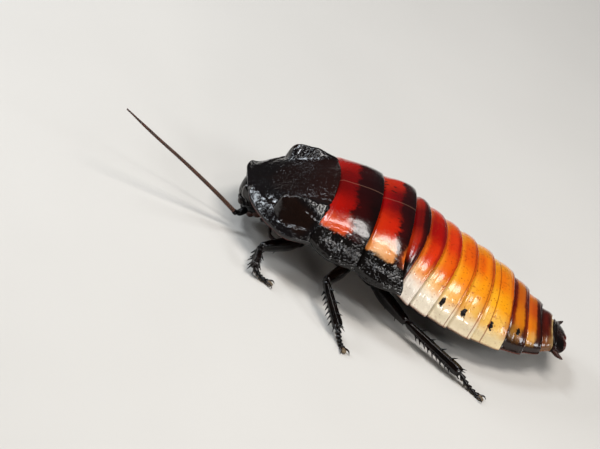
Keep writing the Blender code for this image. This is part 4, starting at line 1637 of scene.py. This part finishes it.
    def build(self, bench: Bench) -> None:
        """Makes the whole head.

        Args:
            bench: Where it is made.
        """
        self.build_capsule(bench)
        neck = orb(Matrix(), (7.2, 0.0, 6.6), (3.6, 4.6, 2.4))
        bench.make("neck", (60, 40), neck, THORAX_HORN, Slot.BROWN)
        for side in Side:
            self.build_jaws(bench, side)
            self.build_feelers(bench, side)


@dataclass
class Antenna:
    """A feeler: a stout first joint, a small second one and a long ringed lash."""

    side: Side
    route: tuple[Triple, ...]
    radius: float = 0.42
    tip_radius: float = 0.25
    ring_length: float = 0.42
    ring_rows: int = 7
    pedicel_length: float = 0.9
    steps: int = 1200

    def build(self, bench: Bench) -> None:
        """Makes and dresses the feeler.

        Args:
            bench: Where it is made.
        """
        tag = self.side.tag
        start, elbow = self.route[0], self.route[1]
        sizes = ((0.0, 0.46), (0.25, 0.62), (0.75, 0.6), (0.93, 0.46), (1.0, 0.4))
        base = rod(start, elbow, sizes, (1.0, 1.0), blunt=6)
        bench.make("antenna_scape_" + tag, (32, 48), base, HEAD_HORN, Slot.DARK, "antenna_base_" + tag)
        line = curve(self.route[1:], self.steps)
        length = float(np.linalg.norm(np.diff(line, axis=0), axis=1).sum())
        short = int(self.pedicel_length / length * self.steps)
        bead = line[:short][:: max(1, short // 16)]
        second = hose(bead, lambda v: 0.4 + 0.1 * np.sin(np.pi * v))
        bench.make("antenna_pedicel_" + tag, (24, len(bead) - 1), second, HEAD_HORN, Slot.DARK)
        for part, first, last in (("lash", 0.02, 0.5), ("tip", 0.495, 1.0)):
            rings = int(length * (last - first) / self.ring_length)
            rows = rings * self.ring_rows
            places = curve(line[int(self.steps * first) : int(self.steps * last) + 1 : 6], rows)

            def radius(v: Array, first: float = first, last: float = last, rings: int = rings) -> Array:
                """A tapering row of short joints, each wider at its far end.

                Args:
                    v: Places along it, from 0 to 1.
                    first: Where it starts.
                    last: Where it ends.
                    rings: How many rings it has.

                Returns:
                    The radius at each place.
                """
                share = lerp(first, last, v)
                plain = lerp(self.radius, self.tip_radius, share) * (1 - 0.4 * smooth(0.8, 1.0, share))
                within = np.mod(v * rings, 1.0)
                return plain * (0.84 + 0.16 * smooth(0.0, 0.75, within) - 0.12 * smooth(0.88, 1.0, within))

            finish = Horn(
                f"{part}_horn", "1e0b07", "38150c", rough=0.35, coat=0.2, patch_size=0.8, pore=0.0,
                rings=float(rings), ring_colour="8c5c34",
            )
            lash = hose(places, radius)
            bench.make(f"antenna_{part}_rings_{tag}", (14, rows), lash, finish, Slot.BROWN, f"antenna_{part}_{tag}")


# The legs. Each profile gives a joint's size by share of its length.

COXA_PROFILE = ((0.0, 0.6), (0.1, 0.85), (0.4, 1.0), (0.75, 0.82), (0.93, 0.66), (1.0, 0.5))
FEMUR_PROFILE = ((0.0, 0.5), (0.05, 0.7), (0.3, 1.0), (0.6, 0.95), (0.88, 0.74), (0.95, 0.72), (1.0, 0.6))
TIBIA_PROFILE = ((0.0, 0.62), (0.06, 0.8), (0.3, 0.84), (0.75, 1.0), (0.93, 1.1), (1.0, 0.9))
JOINT_PROFILE = ((0.0, 0.5), (0.2, 0.52), (0.75, 1.0), (0.92, 0.9), (1.0, 0.6))
JOINT_SIZES = (0.6, 0.55, 0.52, 0.5, 0.56)
FEMUR_SPINES = ((0.45, -0.45), (0.62, 0.45), (0.76, -0.4), (0.9, 0.38))


@dataclass
class Leg:
    """A leg from its broad first joint to its claws."""

    name: str
    root: Triple
    hip: Triple
    knee: Triple
    ankle: Triple
    toe: Triple
    femur_half: tuple[float, float]
    tibia_half: tuple[float, float]
    spines: int
    coxa_half: tuple[float, float] = (2.0, 1.45)
    spine_length: float = 1.15
    spine_radius: float = 0.27

    def build_upper(self, bench: Bench) -> None:
        """Makes the coxa, the small trochanter and the femur.

        Args:
            bench: Where they are made.
        """

        def ridge(share: Array, turn: Array, points: Array) -> Array:
            """A ridge along the front of the coxa."""
            return 0.14 * hump(np.cos(turn), 1.0, 0.05) - 0.1 * hump(np.cos(turn), 0.8, 0.08)

        coxa = rod(self.root, self.hip, COXA_PROFILE, self.coxa_half, 2.3, 6, ridge)
        bench.make("coxa_shell_" + self.name, (56, 56), coxa, LEG_HORN, Slot.DARK, "coxa_" + self.name)
        frame = limb_frame(self.hip, self.knee)
        joint = orb(frame, (0.35, 0.0, -0.1), (1.15, 0.8, 0.85))
        bench.make("trochanter_" + self.name, (40, 28), joint, LEG_HORN, Slot.DARK)

        def keels(share: Array, turn: Array, points: Array) -> Array:
            """Two keels with a channel between them along the underside."""
            below = hump(np.sin(turn), -1.0, 0.12)
            return 0.1 * hump(np.sin(turn), -0.8, 0.12) - 0.16 * below * smooth(0.2, 0.5, share)

        shape = rod(self.hip, self.knee, FEMUR_PROFILE, self.femur_half, 2.2, 7, keels)
        femur = bench.sheet("femur_shell_" + self.name, 48, 72, shape)
        length = (Vector(self.knee) - Vector(self.hip)).length
        spines = []
        for share, y in FEMUR_SPINES:
            root = Vector((length * share, y, -self.femur_half[1] * 0.72))
            spines.append(self.spine(bench, frame, root, Vector((0.5, y * 0.5, -0.8)), 0.75, 0.16))
        bench.keep(bench.join(femur, spines), LEG_HORN, Slot.DARK, "femur_" + self.name)

    def spine(
        self, bench: Bench, frame: Matrix, root: Vector, way: Vector, length: float, radius: float
    ) -> Piece:
        """Makes one spine: a cone drawn out in two steps and bent towards the foot.

        Args:
            bench: Where it is made.
            frame: The limb's frame.
            root: Where it grows from.
            way: Where it points.
            length: How long it is.
            radius: How thick its root is.

        Returns:
            The spine.
        """
        side = way.normalized()
        bend = Vector((0.12, 0, 0))
        places = [root + side * (length * s) + bend * length * s * s for s in np.linspace(-0.25, 1, 9)]
        line = carry(frame, np.array([tuple(p) for p in places]))
        shape = hose(line, lambda v: radius * (1.0 - 0.85 * v) + 0.05 * hump(v, 0.2, 0.1))
        return bench.sheet("spine", 8, 8, shape)

    def build_tibia(self, bench: Bench) -> None:
        """Makes the tibia with its rows of spines.

        Args:
            bench: Where it is made.
        """

        def flutes(share: Array, turn: Array, points: Array) -> Array:
            """Shallow flutes along the tibia."""
            return 0.05 * np.cos(turn * 6) * smooth(0.05, 0.3, share)

        shape = rod(self.knee, self.ankle, TIBIA_PROFILE, self.tibia_half, 2.2, 9, flutes)
        tibia = bench.sheet("tibia_shell_" + self.name, 48, 72, shape)
        frame = limb_frame(self.knee, self.ankle)
        length = (Vector(self.ankle) - Vector(self.knee)).length
        spines = []
        for row, angle in enumerate((-150, -30, 75)):
            count = self.spines if row < 2 else self.spines // 2
            for k in range(count):
                share = lerp(0.22, 0.86, (k + 0.5 * (row == 1)) / max(1, count - 0.5 * (row != 1)))
                turn = math.radians(angle + 10 * math.sin(2.4 * k + row))
                out = Vector((0, math.cos(turn), math.sin(turn)))
                size = lerp(0.75, 1.15, share) * self.spine_length * (1 + 0.12 * math.sin(3.7 * k + row))
                root = Vector((length * share, 0, 0)) + out * self.tibia_half[0] * 0.85
                spines.append(self.spine(bench, frame, root, out + Vector((0.75, 0, 0)), size, self.spine_radius))
        for k in range(5):
            turn = math.radians(-160 + 80 * k)
            out = Vector((0, math.cos(turn), math.sin(turn)))
            root = Vector((length * 0.95, 0, 0)) + out * self.tibia_half[0] * 0.8
            spines.append(self.spine(bench, frame, root, out * 0.6 + Vector((1, 0, 0)), self.spine_length, 0.2))
        bench.keep(bench.join(tibia, spines), LEG_HORN, Slot.DARK, "tibia_" + self.name)

    def foot_line(self) -> list[Vector]:
        """The joints of the foot, from the ankle down to the floor.

        Returns:
            Six places.
        """
        ankle, toe = Vector(self.ankle), Vector(self.toe)
        line = []
        for k in range(6):
            place = ankle.lerp(toe, k / 5)
            place.z = lerp(ankle.z, toe.z, 1 - (1 - k / 5) ** 2.2)
            line.append(place)
        return line

    def build_foot(self, bench: Bench) -> None:
        """Makes the foot's five joints, its pads and its two claws.

        Args:
            bench: Where they are made.
        """
        line = self.foot_line()
        joints, pads = [], []
        for k, size in enumerate(JOINT_SIZES):
            step = line[k + 1] - line[k]
            start = line[k] - step * 0.12
            end = line[k + 1] + step * (0.12 if k < 4 else 0.05)
            profile = [(place, share * size) for place, share in JOINT_PROFILE]
            joints.append(bench.sheet("joint", 24, 24, rod(start, end, profile, (1.0, 0.9), 2.2, 6), floor=0.02))
            if k < 4:
                middle = line[k + 1] - step * 0.18 - Vector((0, 0, size * 0.62))
                egg = orb(Matrix.Translation(middle), (0, 0, 0), (0.34, 0.3, 0.24))
                pads.append(bench.sheet("pad", 20, 14, egg, floor=0.0))
        foot = bench.join(joints[0], joints[1:])
        foot.name = "foot_joints_" + self.name
        bench.keep(foot, LEG_HORN, Slot.DARK, "foot_" + self.name)
        ahead = (line[-1] - line[-2]).normalized()
        level = Vector((ahead.x, ahead.y, 0)).normalized()
        frame = limb_frame(tuple(line[-1]), tuple(line[-1] + level))
        tip = bench.sheet("pad", 32, 24, orb(frame, (0.45, 0, -0.06), (0.72, 0.5, 0.34)), floor=0.0)
        pads = bench.join(tip, pads)
        pads.name = "foot_pads_" + self.name
        bench.keep(pads, PAD_SKIN, Slot.BROWN)
        across = Vector((0, 0, 1)).cross(ahead).normalized()
        for sign, tag in ((-1, "inner"), (1, "outer")):
            root = line[-1] + across * sign * 0.22 - ahead * 0.1
            knuckle = root + ahead * 0.85 + across * sign * 0.5 + Vector((0, 0, 0.3))
            end = knuckle + ahead * 0.62 + across * sign * 0.22 - Vector((0, 0, 0.42))
            places = curve([tuple(p) for p in (root, knuckle, end)], 28)
            claw = hose(places, lambda v: 0.24 * (1 - v) ** 0.8 + 0.02)
            bench.make(f"claw_{tag}_{self.name}", (14, 28), claw, CLAW_HORN, Slot.DARK, floor=0.0)

    def build(self, bench: Bench) -> None:
        """Makes the whole leg.

        Args:
            bench: Where it is made.
        """
        self.build_upper(bench)
        self.build_tibia(bench)
        self.build_foot(bench)


LEGS = (
    Leg("front_left", (9.8, -2.0, 5.3), (14.2, -5.6, 3.8), (7.3, -12.0, 3.3), (7.5, -16.2, 1.75),
        (10.6, -16.6, 0.36), (1.0, 1.25), (0.72, 0.78), 4),
    Leg("middle_left", (18.6, -2.0, 4.7), (23.4, -6.4, 3.5), (19.5, -15.3, 4.8), (24.2, -22.3, 1.75),
        (26.0, -25.3, 0.36), (1.05, 1.3), (0.8, 0.88), 7),
    Leg("hind_left", (24.8, -2.0, 4.2), (29.2, -6.4, 2.9), (36.0, -13.1, 2.9), (47.6, -18.6, 1.7),
        (51.8, -20.6, 0.36), (1.05, 1.2), (0.82, 0.9), 9),
    Leg("front_right", (9.8, 2.0, 5.3), (14.2, 5.6, 3.8), (8.6, 12.4, 3.6), (6.6, 16.6, 1.75),
        (8.6, 19.2, 0.36), (1.0, 1.25), (0.72, 0.78), 4),
    Leg("middle_right", (18.6, 2.0, 4.7), (23.4, 6.4, 3.5), (21.6, 15.4, 4.6), (27.4, 21.4, 1.75),
        (30.6, 23.4, 0.36), (1.05, 1.3), (0.8, 0.88), 7),
    Leg("hind_right", (24.8, 2.0, 4.2), (29.2, 6.4, 2.9), (35.6, 13.4, 2.9), (46.2, 20.4, 1.7),
        (49.6, 23.6, 0.36), (1.05, 1.2), (0.82, 0.9), 9),
)

ANTENNAE = (
    Antenna(Side.LEFT, ((3.3, -3.9, 4.0), (1.9, -5.0, 2.95), (-3.3, -5.3, 5.3), (-10.3, -6.0, 8.3),
                        (-17.1, -6.6, 10.9), (-23.6, -7.2, 13.6))),
    Antenna(Side.RIGHT, ((3.3, 3.9, 4.0), (3.4, 6.4, 4.4), (6.4, 12.2, 6.6), (14.5, 16.4, 7.2),
                         (23.0, 17.6, 7.2), (31.0, 16.4, 7.4))),
)


@dataclass
class Cercus:
    """The short ringed cone beside the tail."""

    side: Side

    def build(self, bench: Bench) -> None:
        """Makes and dresses the cercus.

        Args:
            bench: Where it is made.
        """
        sign = self.side.value
        rings, rows = 8, 96
        places = curve([(63.4, sign * 3.9, 5.1), (64.4, sign * 5.1, 5.3), (65.3, sign * 6.1, 5.6)], rows)

        def radius(v: Array) -> Array:
            """Eight short rings on a cone."""
            cone = spline(((0, 0.36), (0.4, 0.42), (0.8, 0.28), (1, 0.08)), v)
            return cone * (1 + 0.07 * np.sin(v * 2 * rings * np.pi))

        cone, tag = hose(places, radius), self.side.tag
        bench.make("cercus_rings_" + tag, (20, rows), cone, CERCUS_HORN, Slot.BROWN, "cercus_" + tag)


# The studio.


@dataclass
class Studio:
    """The floor, the soft lights and the camera."""

    eye: Triple = (-48.01, -344.87, 209.47)
    right: Triple = (0.8905, 0.1055, 0.4426)
    up: Triple = (-0.4291, 0.5181, 0.7399)
    back: Triple = (-0.151, -0.849, 0.507)
    lens: float = 138.24
    sensor: float = 36.0
    target: Triple = (30.0, 0.0, 8.0)
    room: float = 0.05
    floor_size: float = 6.0
    floor_drop: float = 0.00002
    lamps: tuple[tuple[str, Triple, float, float, Triple], ...] = (
        ("top", (78.0, -50.0, 430.0), 160.0, 1.03, (1.0, 0.97, 0.94)),
        ("crown", (-40.0, -28.0, 430.0), 72.0, 0.23, (1.0, 0.97, 0.94)),
        ("near", (107.0, -249.0, 348.0), 50.0, 0.14, (1.0, 0.97, 0.94)),
        ("spark", (-25.0, -235.0, 375.0), 38.0, 0.15, (0.95, 0.97, 1.0)),
        ("front", (-234.0, 88.0, 347.0), 125.0, 0.85, (0.86, 0.93, 1.0)),
        ("low", (-375.0, 99.0, 179.0), 135.0, 0.85, (0.86, 0.93, 1.0)),
        ("side", (125.0, -430.0, 90.0), 85.0, 0.55, (1.0, 0.98, 0.95)),
        ("tail", (370.0, -150.0, 240.0), 110.0, 0.5, (0.92, 0.96, 1.0)),
    )

    def build_camera(self, bench: Bench) -> None:
        """Sets the camera where the photograph was taken from.

        Args:
            bench: Where it is made.
        """
        data = bpy.data.cameras.new("camera")
        data.lens, data.sensor_width, data.sensor_fit = self.lens, self.sensor, "HORIZONTAL"
        data.clip_start, data.clip_end = 0.005, 20.0
        data.dof.use_dof = False
        camera = bpy.data.objects.new("camera", data)
        bpy.context.scene.collection.objects.link(camera)
        turn = Matrix((self.right, self.up, self.back)).transposed().to_quaternion()
        camera.rotation_euler = turn.to_euler()
        camera.location = (np.array(self.eye) + bench.shift) * MM
        bpy.context.scene.camera = camera

    def build_lamps(self, bench: Bench) -> None:
        """Hangs the soft lights round the animal and sets the room's own light.

        Args:
            bench: Where it is made.
        """
        aim = Vector((np.array(self.target) + bench.shift) * MM)
        for name, place, size, power, colour in self.lamps:
            data = bpy.data.lights.new(name, "AREA")
            data.shape, data.size, data.energy, data.color = "DISK", size * MM, power, colour
            lamp = bpy.data.objects.new(name, data)
            bpy.context.scene.collection.objects.link(lamp)
            lamp.location = (np.array(place) + bench.shift) * MM
            lamp.rotation_euler = (aim - lamp.location).to_track_quat("-Z", "Y").to_euler()
        world = bpy.data.worlds.new("room")
        world.use_nodes = True
        glow = world.node_tree.nodes["Background"].inputs
        glow["Color"].default_value = (0.9, 0.92, 0.95, 1.0)
        glow["Strength"].default_value = self.room
        bpy.context.scene.world = world

    def build(self, bench: Bench) -> None:
        """Sets up the floor, the lights and the camera.

        Args:
            bench: Where it is made.
        """
        bpy.ops.object.select_all(action="DESELECT")
        bpy.ops.mesh.primitive_plane_add(size=self.floor_size, location=(0.0, 0.0, -self.floor_drop))
        floor = bpy.context.object
        floor.name = "floor"
        bpy.ops.object.transform_apply(location=True, rotation=True, scale=True)
        floor.data.materials.append(dressed(Floor()))
        self.build_lamps(bench)
        self.build_camera(bench)
        bpy.context.scene.view_settings.view_transform = "Standard"


def main() -> None:
    """Builds the animal from front to back, then the studio."""
    logging.basicConfig(level=logging.INFO, format="%(name)s %(message)s")
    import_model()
    bench = Bench()
    bench.find_shift()
    Shield().build(bench)
    for front, rear in zip(STATIONS, STATIONS[1:]):
        if rear.plate.endswith("notum"):
            ThoraxPlate(front, rear).build(bench)
        else:
            BackPlate(front, rear).build(bench)
            BellyPlate(front, rear).build(bench)
    Tail().build(bench)
    ThoraxFloor().build(bench)
    Core().build(bench)
    Head().build(bench)
    for antenna in ANTENNAE:
        antenna.build(bench)
    for leg in LEGS:
        leg.build(bench)
    for side in Side:
        Cercus(side).build(bench)
    Studio().build(bench)
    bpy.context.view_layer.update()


if __name__ == "__main__":
    main()
